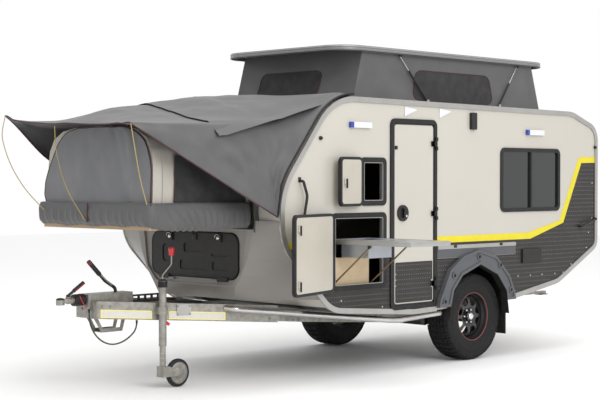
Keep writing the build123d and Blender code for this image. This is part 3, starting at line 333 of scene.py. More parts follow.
def block(name, low, high, look, body="caravan", bevel=0.002, segments=2, place=at):
    """Box between two corners with rounded edges."""
    corners = [place(x, y, z) for x in (low[0], high[0]) for y in (low[1], high[1])
               for z in (low[2], high[2])]
    faces = [(0, 1, 3, 2), (4, 6, 7, 5), (0, 4, 5, 1), (2, 3, 7, 6), (0, 2, 6, 4), (1, 5, 7, 3)]
    piece = new_object(name, corners, faces, look, body, smooth=False)
    soften(piece, bevel, segments)
    piece.data.shade_smooth()
    return piece


def lathe(name, profile, centre, axis, look, body="caravan", steps=48):
    """Turned piece: profile of (distance along axis, radius)."""
    axis = Vector(axis).normalized()
    side = axis.orthogonal().normalized()
    other = axis.cross(side)
    vertices = []
    for along, radius in profile:
        for i in range(steps):
            a = 2 * math.pi * i / steps
            vertices.append(centre + axis * along + (side * math.cos(a) + other * math.sin(a)) * radius)
    faces = [face[::-1] for face in net(len(profile), steps, True)]
    faces.append(tuple(range(steps)))
    faces.append(tuple(range(len(vertices) - 1, len(vertices) - steps - 1, -1)))
    return new_object(name, vertices, faces, look, body)


def merge(name, parts):
    """Joins pieces of one kind into one."""
    with bpy.context.temp_override(active_object=parts[0], selected_editable_objects=parts):
        bpy.ops.object.join()
    parts[0].name = name
    return parts[0]


def face_outward(piece):
    """Points every face away from the piece's inside."""
    form = bmesh.new()
    form.from_mesh(piece.data)
    bmesh.ops.remove_doubles(form, verts=form.verts, dist=1e-6)
    bmesh.ops.recalc_face_normals(form, faces=form.faces)
    form.to_mesh(piece.data)
    form.free()
    piece.data.shade_smooth()
    piece.data.set_sharp_from_angle(angle=math.radians(34))


def round_loop(x, z, radius, steps=6):
    """Rounded rectangle between two values on each axis, counter-clockwise."""
    loop = []
    for cx, cz, start in ((x[1] - radius, z[1] - radius, 0), (x[0] + radius, z[1] - radius, 90),
                          (x[0] + radius, z[0] + radius, 180), (x[1] - radius, z[0] + radius, 270)):
        for i in range(steps + 1):
            a = math.radians(start + 90 * i / steps)
            loop.append((cx + radius * math.cos(a), cz + radius * math.sin(a)))
    return loop


def band(name, outer, inner, depth, look, body="caravan", place=at, bevel=0.0015):
    """Closed strip between two loops of as many points, from depth[0] to depth[1] in y."""
    count = len(outer)
    vertices = [place(x, y, z) for y in depth for loop in (outer, inner) for x, z in loop]
    faces = []
    for i in range(count):
        a, b, c, d = (i + k * count for k in range(4))
        a2, b2, c2, d2 = ((i + 1) % count + k * count for k in range(4))
        faces += [(a, a2, b2, b), (c, d, d2, c2), (a, c, c2, a2), (b, b2, d2, d)]
    piece = new_object(name, vertices, faces, look, body)
    soften(piece, bevel, limit=40)
    piece.data.shade_smooth()
    return piece


def slab(name, loop, depth, look):
    """Flat piece of the body with that outline in x and z, from depth[0] to depth[1] in y."""
    count = len(loop)
    vertices = [at(x, y, z) for y in depth for x, z in loop]
    faces = [tuple(range(count)), tuple(range(2 * count - 1, count - 1, -1))]
    faces += [(i, count + i, count + (i + 1) % count, (i + 1) % count) for i in range(count)]
    piece = new_object(name, vertices, faces, look, "caravan", smooth=False)
    soften(piece, 0.001)
    return piece


def swung(pin, degrees):
    """Place of a point on a leaf that stands open about an upright pin."""
    turn = Matrix.Rotation(math.radians(-degrees), 4, "Z")

    def place(x, y, z):
        return at(*pin, 0) + turn @ Vector((x - pin[0], y - pin[1], z))
    return place


# Breakaway cable, from the coupling's underside to the drawbar's side
CABLE = [(-3.630, -0.060, 0.632), (-3.630, -0.060, 0.540), (-3.600, -0.074, 0.450), (-3.545, -0.095, 0.383),
         (-3.470, -0.120, 0.349), (-3.393, -0.148, 0.360), (-3.323, -0.173, 0.404), (-3.275, -0.195, 0.466),
         (-3.275, -0.195, 0.528)]


def cable():
    curve = bpy.data.curves.new("breakaway_line", "CURVE")
    curve.dimensions = "3D"
    curve.bevel_depth = 0.006
    curve.bevel_resolution = 4
    curve.resolution_u = 16
    line = curve.splines.new("NURBS")
    line.points.add(len(CABLE) - 1)
    for spot, point in zip(line.points, CABLE):
        spot.co = (*at(*point), 1)
    line.order_u = 3
    line.use_endpoint_u = True
    piece = carried("breakaway_line", curve, "cable_black", "caravan")
    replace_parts(piece, "breakaway_cable")
    for i, (foot, tip) in enumerate(((CABLE[0], (-3.630, -0.060, 0.600)),
                                     (CABLE[-1], (-3.275, -0.195, 0.498)))):
        down = (Vector(tip) - Vector(foot)).normalized()
        profile = [(-0.004, 0.0088), (0.004, 0.0088), (0.016, 0.0078), (0.030, 0.0066)]
        lathe(f"cable_relief_{i}", profile, at(*foot), down, "rubber_black", steps=24)
    tuple(at(*CABLE[0]))


# Fly: x, then half width and height of hem, shoulder and upper fold, and height of the crown
HINGE_X = -2.507
FLY_FRONT_X = -3.815
PEAK_X = -3.5
CAP_X = -1.85
FLY_END_X = -1.64
FLY_FRONT = [
    (FLY_FRONT_X, 0.785, 2.028, 0.66, 2.032, 0.32, 2.038, 2.044),
    (-3.60, 0.815, 1.911, 0.780, 2.026, 0.42, 2.062, 2.105),
    (-3.36, 0.849, 1.780, 0.782, 2.030, 0.45, 2.086, 2.172),
    (-2.96, 0.905, 1.563, 0.785, 2.037, 0.46, 2.104, 2.218),
    (HINGE_X, 0.970, 1.318, 0.800, 2.055, 0.46, 2.170, 2.285),
]
# The side's two front bends, grown by the hem's distance: centre x, z, radius, angles passed
HEM_OUT = 0.024
BENDS = [((-1.925, 1.347), 0.560, (9, 16, 24, 31, 38)), ((-1.648, 1.767), 0.520,
                                                         (38, 47, 56, 65, 74, 82, 89))]
ACROSS = [i / 44 for i in range(-44, 45)]


def rear_table():
    """Rows behind the hinge, where the hem follows the outside of the moulding."""
    hem = [(-2.506, 1.38)]
    for (cx, cz), radius, angles in BENDS:
        for angle in angles:
            a = math.radians(angle)
            hem.append((cx - (radius + HEM_OUT) * math.cos(a), cz + (radius + HEM_OUT) * math.sin(a)))
    table = []
    for x, z in hem:
        t = (x - HINGE_X) / (FLY_END_X - HINGE_X)
        floor_z = z + 0.004
        drop = max(0.0, t - 0.78) / 0.22
        shoulder = max(floor_z, mix(2.055, 2.285, smoothed(t)))
        upper = max(floor_z, mix(2.170, 2.305, smoothed(t)))
        crown = max(floor_z, mix(2.285, 2.330, smoothed(t)) - 0.03 * drop)
        table.append((x, 0.970, z, mix(0.800, 0.86, t), shoulder, 0.46, upper, crown))
    return sorted(table)


FLY_TABLE = FLY_FRONT + rear_table()


def across(row, v):
    """Point of the fly's section at v, from -1 on the left hem to 1 on the right one."""
    hem_y, hem_z, shoulder_y, shoulder_z, upper_y, upper_z, crown_z = row
    knots = [(0.0, 0.0, crown_z), (0.34, upper_y, upper_z), (0.58, shoulder_y, shoulder_z),
             (1.0, hem_y, hem_z)]
    share = abs(v)
    for (a, ya, za), (b, yb, zb) in zip(knots, knots[1:]):
        if share <= b:
            break
    t = (share - a) / (b - a)
    return math.copysign(mix(ya, yb, t), v), mix(za, zb, t ** 1.15 if b < 0.5 else t)


def fly_point(x, v, lift=0.0):
    y, z = across(through(FLY_TABLE, x), v)
    side = max(0.0, (abs(v) - 0.58) / 0.42)
    panel = math.sin(math.pi * side) if side else 0.0
    free = smoothed(clamp((x - FLY_FRONT_X) / 0.4)) * min(1.0, max(0.1, (-1.75 - x) / 0.4))
    corner_x, corner_z = -2.60, 1.36
    angle = math.atan2(z - corner_z, x - corner_x)
    reach = math.hypot(x - corner_x, z - corner_z)
    fold = math.sin(17 * angle + 2.3 * noise.noise(Vector((x * 2.1, z * 2.3, 4)))) * 0.5 + 0.5
    fold *= math.exp(-((reach - 0.45) / 0.32) ** 2)
    big = crease(x, y * 0.5, z, 1.7, 0.036) + crease(x, y, z, 4.2, 0.014)
    out = panel * free * (-0.024 + 0.034 * fold + big)
    y -= math.copysign(out, -v) if v else 0.0
    top = 1 - min(1.0, abs(v) / 0.58)
    seam = math.exp(-((abs(v) - 0.58) / 0.06) ** 2)
    far_tip = smoothed(clamp((-3.36 - x) / 0.455)) * smoothed(clamp(v))
    z += top * free * crease(x * 0.6, y, 3.1, 2.2, 0.030) + seam * 0.006 + lift + 0.092 * far_tip
    if x < -3.75:
        z -= 0.012 * math.sin(math.pi * min(1.0, abs(v) / 0.9))
    return at(x, y, z)


SLOPE_NORMAL = (-0.788, 0.0, 0.615)
SLOPE_FOOT = tuple(at(-2.17, 0.0, 1.905))
BED_TOP = tuple(at(-3.0, 0.0, 1.46))
PEAK_FOLD = (-0.447, 0.0, 0.894)
PEAK_FOOT = tuple(at(-3.5, 0.0, 1.46))
# Stretches of the fly: its ends in x and the body that it rides on
REGIONS = {"peak": (FLY_FRONT_X, PEAK_X, "bed"), "main": (PEAK_X, HINGE_X, "bed"),
           "slope": (HINGE_X, CAP_X, "caravan"), "cap": (CAP_X, FLY_END_X, "caravan")}
# How each stretch would collapse as the bed folds up, which nothing here applies: direction, where it ends
# up, and the share kept
COLLAPSE = {"peak": (PEAK_FOLD, PEAK_FOOT, 0.06), "main": ((0, 0, 1), BED_TOP, 0.06),
            "slope": (SLOPE_NORMAL, SLOPE_FOOT, 0.03)}


def fold_with_bed(piece, region):
    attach(piece, REGIONS[region][2])
    if region in COLLAPSE:
        axis, anchor, keep = COLLAPSE[region]
        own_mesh(piece)
        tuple(axis)
        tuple(anchor)


def fly():
    for region, (a, b, body) in REGIONS.items():
        rows = [[fly_point(x, v) for v in ACROSS] for x in stations(a, b, 0.04)]
        piece = sheet(f"fly_{region}", rows, 0.003, "canvas_grey", body)
        if region == "main":
            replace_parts(piece, "fly_front")
        if region == "slope":
            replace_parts(piece, "fly_rear")
        fold_with_bed(piece, region)
        for side in (-1, 1):
            if body == "bed":
                line = [fly_point(x, side * 0.995) for x in stations(a, b, 0.05)]
                bead = cord_along(f"fly_piping_{region}_{side}", line, 0.0055, PIPING, body)
            else:
                line = [fly_point(x, side * 0.995) + Vector((0, 0, 0.004)) for x in stations(a, b, 0.04)]
                bead = cord_along(f"fly_welt_{region}_{side}", line, 0.008, "rubber_black", body)
            fold_with_bed(bead, region)
    front = [fly_point(FLY_FRONT_X, v) for v in ACROSS]
    fold_with_bed(cord_along("fly_piping_front", front, 0.0055, PIPING, "bed"), "peak")


# Overlapping upper sheet: its front edge, and the points where its lower edge starts and ends
OVER_FRONT_X = -3.02
OVER_CORNER = (-2.95, 0.86, 1.952)
OVER_END = (FLY_END_X, 0.93, 2.302)


def over_rows(a, b):
    rows = []
    for x in stations(a, b, 0.04):
        t = max(0.0, (x - OVER_CORNER[0]) / (OVER_END[0] - OVER_CORNER[0]))
        edge_y = mix(OVER_CORNER[1], OVER_END[1], t)
        edge_z = mix(OVER_CORNER[2], OVER_END[2], t)
        row = through(FLY_TABLE, x)
        line = []
        for i in range(-30, 31):
            share = i / 30
            v = share * 0.60
            point = fly_point(x, v, 0.014)
            if abs(share) > 0.90:
                inner = fly_point(x, math.copysign(0.54, v), 0.016)
                tip = at(x, math.copysign(max(edge_y, row[2] + 0.035), v), min(edge_z, inner.z - 0.01))
                point = inner.lerp(tip, smoothed((abs(share) - 0.90) / 0.10))
            if x < OVER_FRONT_X + 0.001:
                point.z -= 0.004
            line.append(point)
        rows.append(line)
    return rows


def overlay():
    for region in ("main", "slope", "cap"):
        a, b, body = REGIONS[region]
        rows = over_rows(max(a, OVER_FRONT_X), b)
        fold_with_bed(sheet(f"fly_overlay_{region}", rows, 0.003, "canvas_grey", body), region)
    edge = over_rows(OVER_FRONT_X, OVER_FRONT_X + 0.04)[0]
    edge = [point + Vector((0, 0, 0.002)) for point in edge]
    fold_with_bed(cord_along("fly_overlay_hem", edge, 0.003, "rubber_black", "bed"), "main")


# Inner tent: half section from the foot up, as y, z
TENT_FRONT_X = -3.49
TENT_END_X = -2.52
TENT_FOOT_Z = 1.436
TENT_ARCH = [(0.645, 1.436), (0.656, 1.58), (0.655, 1.72), (0.636, 1.84), (0.575, 1.935), (0.46, 1.995),
             (0.30, 2.020), (0.0, 2.026)]
TENT_SHARES = [i / 28 for i in range(-28, 29)]


def arch_point(share):
    """Point along the arch, from -1 at the left foot through the top to 1 at the right foot."""
    place = (1 - abs(share)) * (len(TENT_ARCH) - 1)
    low = min(int(place), len(TENT_ARCH) - 2)
    (ya, za), (yb, zb) = TENT_ARCH[low], TENT_ARCH[low + 1]
    return math.copysign(mix(ya, yb, place - low), share), mix(za, zb, place - low)


def settle_tent(piece):
    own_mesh(piece)


def inner_tent():
    rows = []
    for x in stations(TENT_FRONT_X, TENT_END_X, 0.05):
        sag = 0.010 * math.sin(math.pi * (x - TENT_FRONT_X) / (TENT_END_X - TENT_FRONT_X))
        line = []
        for y, z in map(arch_point, TENT_SHARES):
            push = 1 - sag - 0.4 * crease(x, y, z, 4, 0.012)
            line.append(at(x, y * push, TENT_FOOT_Z + (z - TENT_FOOT_Z) * (1 - 1.5 * sag)))
        rows.append(line)
    walls = sheet("tent_walls", rows, 0.002, "canvas_cream", "bed")
    front = [[at(TENT_FRONT_X, y * j / 20, mix(1.70, z, j / 20)) for y, z in map(arch_point, TENT_SHARES)]
             for j in range(21)]
    face = sheet("tent_front", front, 0.002, "canvas_cream", "bed", levels=0)
    for piece in (walls, face):
        settle_tent(piece)
    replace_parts(walls, "inner_tent")


# Arch flap on the front wall: height, left edge y, right edge y
FLAP = [(1.440, -0.644, 0.664), (1.50, -0.647, 0.686), (1.60, -0.652, 0.672), (1.69, -0.656, 0.632),
        (1.77, -0.640, 0.583), (1.85, -0.612, 0.535), (1.91, -0.576, 0.490), (1.965, -0.500, 0.425),
        (2.005, -0.400, 0.330), (2.016, -0.330, 0.240)]


def arch_flap():
    rows = []
    heights = stations(FLAP[0][0], FLAP[-1][0], 0.022)
    for z in heights:
        left, right = through(FLAP, z)
        rise = (z - FLAP[0][0]) / (FLAP[-1][0] - FLAP[0][0])
        line = []
        for i in range(41):
            u = i / 40
            y = mix(left, right, u)
            bulge = 0.018 * math.sin(math.pi * u) * (1 - rise) + 0.017
            pull = 0.014 * math.exp(-((y + 0.50 - 0.10 * rise) / 0.045) ** 2)
            pull -= 0.010 * math.exp(-((y + 0.40 - 0.2 * rise) / 0.04) ** 2)
            edge = min(1.0, 8 * min(u, 1 - u))
            line.append(at(TENT_FRONT_X - bulge - edge * (pull + crease(0.5, y, z * 0.6, 3.2, 0.010)), y, z))
        rows.append(line)
    flap = sheet("tent_arch_flap", rows, 0.002, FLAP_GREY, "bed")
    left_edge = [at(TENT_FRONT_X - 0.017, through(FLAP, z)[0], z) for z in heights]
    right_edge = [at(TENT_FRONT_X - 0.017, through(FLAP, z)[1], z) for z in reversed(heights)]
    bead = cord_along("tent_flap_piping", left_edge + right_edge, 0.0045, PIPING, "bed")
    for piece in (flap, bead):
        settle_tent(piece)


# Insect mesh in the tent's side walls, and the seams beside it
MESH_X = (-3.288, -2.56)
MESH_Z = (1.437, 1.80)
SEAM_X = -3.40


def side_mesh():
    for side in (-1, 1):
        rows = []
        for x in stations(*MESH_X, 0.045):
            line = []
            for z in stations(*MESH_Z, 0.03):
                belly = math.sin(math.pi * (z - MESH_Z[0]) / (MESH_Z[1] - MESH_Z[0]))
                line.append(at(x, side * (0.662 + 0.006 * math.sin(22 * (x + 0.9 * z)) * belly), z))
            rows.append(line)
        edge = [at(MESH_X[0], side * 0.664, z) for z in stations(*MESH_Z, 0.05)]
        seam = [at(SEAM_X, side * 0.660, z) for z in stations(TENT_FOOT_Z, 1.80, 0.05)]
        for piece in (sheet(f"tent_mesh_{side}", rows, 0.002, MESH_BLACK, "bed"),
                      cord_along(f"tent_mesh_piping_{side}", edge, 0.004, PIPING, "bed"),
                      cord_along(f"tent_seam_{side}", seam, 0.0022, "canvas_cream", "bed")):
            settle_tent(piece)


# Gathered bed cover: place along its edge, then height of its gathered bottom
COVER_SIDE = [(-3.53, 1.258), (-3.42, 1.236), (-3.28, 1.226), (-3.10, 1.222), (-2.90, 1.228), (-2.70, 1.233),
              (-2.555, 1.236)]
COVER_FRONT = [(-0.66, 1.262), (-0.50, 1.270), (-0.36, 1.258), (-0.18, 1.268), (0.0, 1.256), (0.16, 1.266),
               (0.34, 1.252), (0.50, 1.268), (0.66, 1.264)]
COVER_HALF = 0.700
COVER_FRONT_X = -3.570
COVER_ROUND = 0.05


def cover_path():
    """Points round the bed from the near wall over the front to the far wall: x, y, outward, bottom z."""
    side = stations(-2.56, COVER_FRONT_X + COVER_ROUND, 0.012)
    points = [(x, -COVER_HALF, (0, -1), through(COVER_SIDE, x)[0]) for x in side]
    cx, cy = COVER_FRONT_X + COVER_ROUND, COVER_HALF - COVER_ROUND
    corner = [(math.sin(a), math.cos(a)) for a in (math.pi / 2 * i / 8 for i in range(1, 8))]
    for i, (s, c) in enumerate(corner, 1):
        bottom = mix(COVER_SIDE[0][1], COVER_FRONT[0][1], i / 8)
        points.append((cx - COVER_ROUND * s, -cy - COVER_ROUND * c, (-s, -c), bottom))
    points += [(COVER_FRONT_X, y, (-1, 0), through(COVER_FRONT, y)[0]) for y in stations(-cy, cy, 0.012)]
    for i, (s, c) in enumerate(corner, 1):
        bottom = mix(COVER_FRONT[-1][1], COVER_SIDE[0][1], i / 8)
        points.append((cx - COVER_ROUND * c, cy + COVER_ROUND * s, (-c, s), bottom))
    far = stations(COVER_FRONT_X + COVER_ROUND, -2.56, 0.012)
    return points + [(x, COVER_HALF, (0, 1), through(COVER_SIDE, x)[0]) for x in far]


def pleat(s):
    """Uneven gathers along the cover."""
    warp = s + 0.05 * noise.noise(Vector((s * 3, 1.7, 0))) + 0.02 * noise.noise(Vector((s * 11, 4.7, 0)))
    return 0.65 * math.sin(2 * math.pi * warp / 0.085) + 0.35 * math.sin(2 * math.pi * warp / 0.043 + 1)


def bed_skirt():
    columns, length, last = [], 0.0, None
    down = 14
    for x, y, (nx, ny), bottom in cover_path():
        if last:
            length += math.hypot(x - last[0], y - last[1])
        last = (x, y)
        near_corner = math.exp(-((x + 3.22) / 0.22) ** 2) if ny else 0.0
        strength = 0.30 + 0.85 * near_corner
        column = [at(x - nx * 0.075, y - ny * 0.075, 1.441), at(x - nx * 0.030, y - ny * 0.030, 1.443)]
        for k in range(down + 1):
            t = k / down
            tuck = 0.030 * smoothed(max(0.0, (t - 0.80) / 0.20))
            belly = 0.014 * math.sin(math.pi * min(1.0, t * 1.1)) - tuck
            fan = pleat(length + 0.16 * t * near_corner) * 0.013
            soft = 0.010 * noise.noise(Vector((x * 4.5, y * 4.5, t)))
            gather = (strength * fan + soft) * smoothed(clamp((t - 0.20) / 0.25))
            out = -0.008 * (1 - t) ** 4 + belly + gather
            drop = 0.005 * strength * math.sin(2 * math.pi * length / 0.06) * t ** 3
            column.append(at(x + nx * out, y + ny * out, mix(1.438, bottom, t) + drop))
        column.append(at(x - nx * 0.035, y - ny * 0.035, bottom + 0.012))
        columns.append(column)
    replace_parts(sheet("bed_skirt", columns, 0.002, "canvas_grey", "bed"), "bed_cover")
    for name, x, y, tip in (("mid", COVER_FRONT_X - 0.014, 0.02, 1.291),
                            ("near", COVER_FRONT_X + 0.03, -0.69, 1.33),
                            ("far", COVER_FRONT_X + 0.03, 0.69, 1.33)):
        line = [at(x, y, z) for z in stations(1.436, tip, 0.02)]
        cord_along(f"bed_strap_{name}", line, 0.006, PIPING, "bed")
    for side in (-1, 1):
        rows = [[at(x, side * (0.736 + 0.004 * math.sin(40 * z)), z) for z in stations(1.205, 1.440, 0.02)]
                for x in stations(-2.540, -2.492, 0.012)]
        gusset = sheet(f"skirt_gusset_{side}", rows, 0.002, "canvas_grey", "caravan", levels=0)


# Spring rods that hold the fly's front, from foot to tip
RODS = {"near": [(-3.545, -0.664, 1.403), (-3.640, -0.690, 1.615), (-3.718, -0.729, 1.835),
                 (-3.806, -0.790, 2.026)],
        "middle": [(-3.588, 0.040, 1.300), (-3.640, 0.215, 1.539), (-3.728, 0.229, 1.825),
                   (-3.806, 0.133, 2.024)],
        "far": [(-3.588, 0.575, 1.374), (-3.626, 0.787, 1.532), (-3.686, 0.910, 1.734),
                (-3.750, 0.945, 1.965), (-3.806, 0.800, 2.108)]}


def bed_rods():
    for name, points in RODS.items():
        line = [Vector(points[0])]
        for a, b in zip(points, points[1:]):
            line += [Vector(a).lerp(Vector(b), (i + 1) / 8) for i in range(8)]
        rod = cord_along(f"rod_{name}", [at(*point) for point in rounded(line, 12)], 0.0036, "rod_tan", "bed")
        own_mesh(rod)
        if name == "middle":
            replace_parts(rod, "spring_rods")


def mattress():
    """Crowned foam mattress with rounded edges."""
    x, half, low, high = (-3.500, -2.565), 0.636, 1.298, 1.416
    rows = []
    for i in range(25):
        u = i / 24
        row = []
        for j in range(33):
            v = j / 32
            ex, ey = abs(2 * u - 1) ** 8, abs(2 * v - 1) ** 8
            crown = high - 0.016 * max(ex, ey) + 0.003 * noise.noise(Vector((u * 5, v * 6, 0)))
            row.append(at(mix(x[0], x[1], u), mix(-half, half, v), crown))
        rows.append(row)
    count, wide = len(rows), len(rows[0])
    vertices = [p for row in rows for p in row]
    faces = net(count, wide)
    edge = [(0, j) for j in range(wide)] + [(i, wide - 1) for i in range(1, count)]
    edge += [(count - 1, j) for j in range(wide - 2, -1, -1)] + [(i, 0) for i in range(count - 2, 0, -1)]
    last = [i * wide + j for i, j in edge]
    for out, z in ((0.006, 1.385), (0.008, 1.357), (0.006, 1.325), (-0.002, 1.302), (-0.010, low + 0.0004)):
        ring = list(range(len(vertices), len(vertices) + len(edge)))
        for i, j in edge:
            p = rows[i][j].copy()
            p.x += out * ((i == count - 1) - (i == 0))
            p.y += out * ((j == wide - 1) - (j == 0))
            p.z = z
            vertices.append(p)
        for k, spot in enumerate(ring):
            after = (k + 1) % len(ring)
            faces.append((last[after], ring[after], spot, last[k]))
        last = ring
    faces.append(tuple(last))
    piece = new_object("mattress_cover", vertices, faces, "foam", "bed")
    face_outward(piece)
    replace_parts(piece, "mattress")


# Pop-top wall: front x, rear x and height at the foot and at the top
POP_FOOT = (-1.390, 1.270, 2.2885)
POP_TOP = (-1.270, 1.130, 2.7240)
POP_HALF = 0.722
POP_OUT = [(0, -1), (-1, 0), (0, 1), (1, 0)]
# Height of the wall that the windows' corners are drawn on
POP_TALL = 0.436
WINDOW_ROUND = 0.07
# Windows: side of the wall, from and to along it, from and to in height
WINDOWS = {"near": (0, 0.278, 0.705, 0.06, 0.66), "front": (1, 0.30, 0.82, 0.06, 0.62),
           "far": (2, 0.295, 0.722, 0.06, 0.66), "rear": (3, 0.18, 0.82, 0.06, 0.62)}


def pop_point(share, t, out=0.0):
    """Point of the pop-top's wall: share goes round from 0 to 4 by sides, t from foot to top."""
    front, rear, z = (mix(a, b, t) for a, b in zip(POP_FOOT, POP_TOP))
    corners = [(rear, -POP_HALF), (front, -POP_HALF), (front, POP_HALF), (rear, POP_HALF)]
    side = int(share) % 4
    k = share - int(share)
    (xa, ya), (xb, yb) = corners[side], corners[(side + 1) % 4]
    x, y = mix(xa, xb, k), mix(ya, yb, k)
    nx, ny = POP_OUT[side]
    free = math.sin(math.pi * k) ** 0.6 * math.sin(math.pi * t)
    fold = 0.008 * math.sin(26 * k + 14 * t * (1 - 2 * k)) - 0.014 + crease(x, y, t * 0.5, 3, 0.008)
    out += fold * free - 0.004 * math.exp(-min(k, 1 - k) * 9)
    return at(x + nx * out, y + ny * out, z)


def pop_settle(piece):
    tuple(at(0, 0, POP_FOOT[2]))
    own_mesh(piece)


def pop_walls():
    shares = [side + i / count for side, count in enumerate((60, 34, 60, 34)) for i in range(count)]
    rows = [[pop_point(share, j / 14) for share in shares] for j in range(15)]
    walls = sheet("pop_top_walls", rows, 0.002, "canvas_grey", "caravan", levels=0, close=True)
    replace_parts(walls, "pop_fabric")
    pop_settle(walls)
    for name, (side, a, b, low, high) in WINDOWS.items():
        length = 2.6 if side in (0, 2) else 2 * POP_HALF
        rows = []
        for j in range(19):
            t = mix(low, high, j / 18)
            short = max(0.0, WINDOW_ROUND - max(0.0, min(t - low, high - t) * POP_TALL))
            corner = (WINDOW_ROUND - math.sqrt(WINDOW_ROUND ** 2 - short ** 2)) / length
            rows.append([pop_point(side + mix(a + corner, b - corner, i / 40), t, 0.004) for i in range(41)])
        beyond = Vector((*POP_OUT[side], 0)) * 0.001
        loop = [row[0] + beyond for row in rows] + rows[-1]
        loop += [row[-1] + beyond for row in rows[::-1]] + rows[0][::-1]
        pop_settle(sheet(f"pop_window_{name}", rows, 0.0015, MESH_BLACK, "caravan", levels=0))
        pop_settle(cord_along(f"pop_window_piping_{name}", loop, 0.004, PIPING, "caravan"))


# Pop-top roof: x and half width, corner radius, eyes of the struts in x
ROOF_X = (-1.554, 1.395)
ROOF_HALF = 0.765
ROOF_ROUND = 0.25
EYES = (-0.810, 0.889)
# From the hollow's ceiling over the rim to the crown: inset and height
ROOF_SHELL = [(0.020, 2.7250), (0.009, 2.7242), (0.0075, 2.6965), (0.0035, 2.6950), (0.0, 2.6985),
              (0.0, 2.7385),
              (0.005, 2.7445), (0.045, 2.7495), (0.12, 2.7570), (0.24, 2.7635), (0.42, 2.7675),
              (0.58, 2.7688)]


def roof_loop(by, z):
    loop = round_loop(inset(ROOF_X, by), inset((-ROOF_HALF, ROOF_HALF), by), max(0.012, ROOF_ROUND - by), 12)
    return [at(x, y, z) for x, y in loop]


def pop_roof():
    """Low domed roof, hollow underneath, its strut brackets and the lines round its rim."""
    loops = [roof_loop(by, z) for by, z in ROOF_SHELL]
    count = len(loops[0])
    vertices = [point for loop in loops for point in loop]
    faces = [tuple(range(count)), tuple(range(len(vertices) - count, len(vertices)))]
    faces += net(len(loops), count, True)
    # The shell takes the bluish grey look: painted shade and painted sky reflection
    roof = new_object("pop_roof_shell", vertices, faces, "roof_grey", "pop_roof")
    face_outward(roof)
    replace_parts(roof, "pop_roof")
    for i, x in enumerate(EYES):
        for side in (-1, 1):
            block(f"eye_bracket_{i}_{side}", (x - 0.014, side * 0.7475, 2.676),
                  (x + 0.014, side * 0.762, 2.727), "plastic_black", "pop_roof", 0.001)
    for i, (z, size, slot) in enumerate(((2.7335, 0.0035, "moulding"), (2.7160, 0.0022, "moulding"),
                                         (2.7000, 0.003, "rubber_black"))):
        cord_along(f"pop_rim_line_{i}", roof_loop(-0.0005, z), size, slot, "pop_roof", cyclic=True)


# Tyres: half width, radius, then the blocks of one pitch of tread as outlines of arc and width in mm
TYRE_R = 0.388
TRACK = 0.803
PITCHES = 40
TREAD = [
    [(3, 3), (24, 2), (33, 13), (52, 12), (56, 27), (36, 33), (10, 30), (1, 18)],
    [(30, -3), (50, -2), (58, -14), (40, -30), (22, -27), (20, -14)],
    [(2, 40), (26, 36), (31, 47), (54, 45), (52, 68), (24, 73), (4, 66)],
    [(12, -37), (38, -34), (40, -46), (58, -50), (56, -70), (30, -66), (10, -72)],
]
SHOULDER_ARC = [(4, 27), (33, 55)]
SHOULDER_LINE = [(0.079, 0.3865), (0.103, 0.3825), (0.1170, 0.3735), (0.1216, 0.3600)]
SHOULDER_SHORT = SHOULDER_LINE[:-1] + [(0.1200, 0.3655)]
CARCASS = [(0.094, 0.213), (0.107, 0.216), (0.116, 0.232), (0.1205, 0.262), (0.1218, 0.290), (0.1224, 0.2925),
           (0.1224, 0.3060), (0.1212, 0.309), (0.1195, 0.334), (0.1135, 0.358), (0.103, 0.3705),
           (0.080, 0.3755), (0.040, 0.3770), (0.0, 0.3775)]
AROUND = 96


def wheel_place(side):
    """Place of a point on the wheel of that side: y outward from its middle, radius, angle."""
    def place(y, radius, angle):
        return at(radius * math.sin(angle), side * (TRACK + y), TYRE_R + radius * math.cos(angle))
    return place


def ring_mesh(profile, place, steps=AROUND):
    """Rings of points for a profile of (y, radius), and the faces between them by step and place."""
    vertices = [place(y, radius, 2 * math.pi * i / steps) for i in range(steps) for y, radius in profile]
    wide = len(profile)
    faces = {}
    for i in range(steps):
        j = (i + 1) % steps
        for k in range(wide - 1):
            faces[i, k] = (i * wide + k, i * wide + k + 1, j * wide + k + 1, j * wide + k)
    return vertices, faces


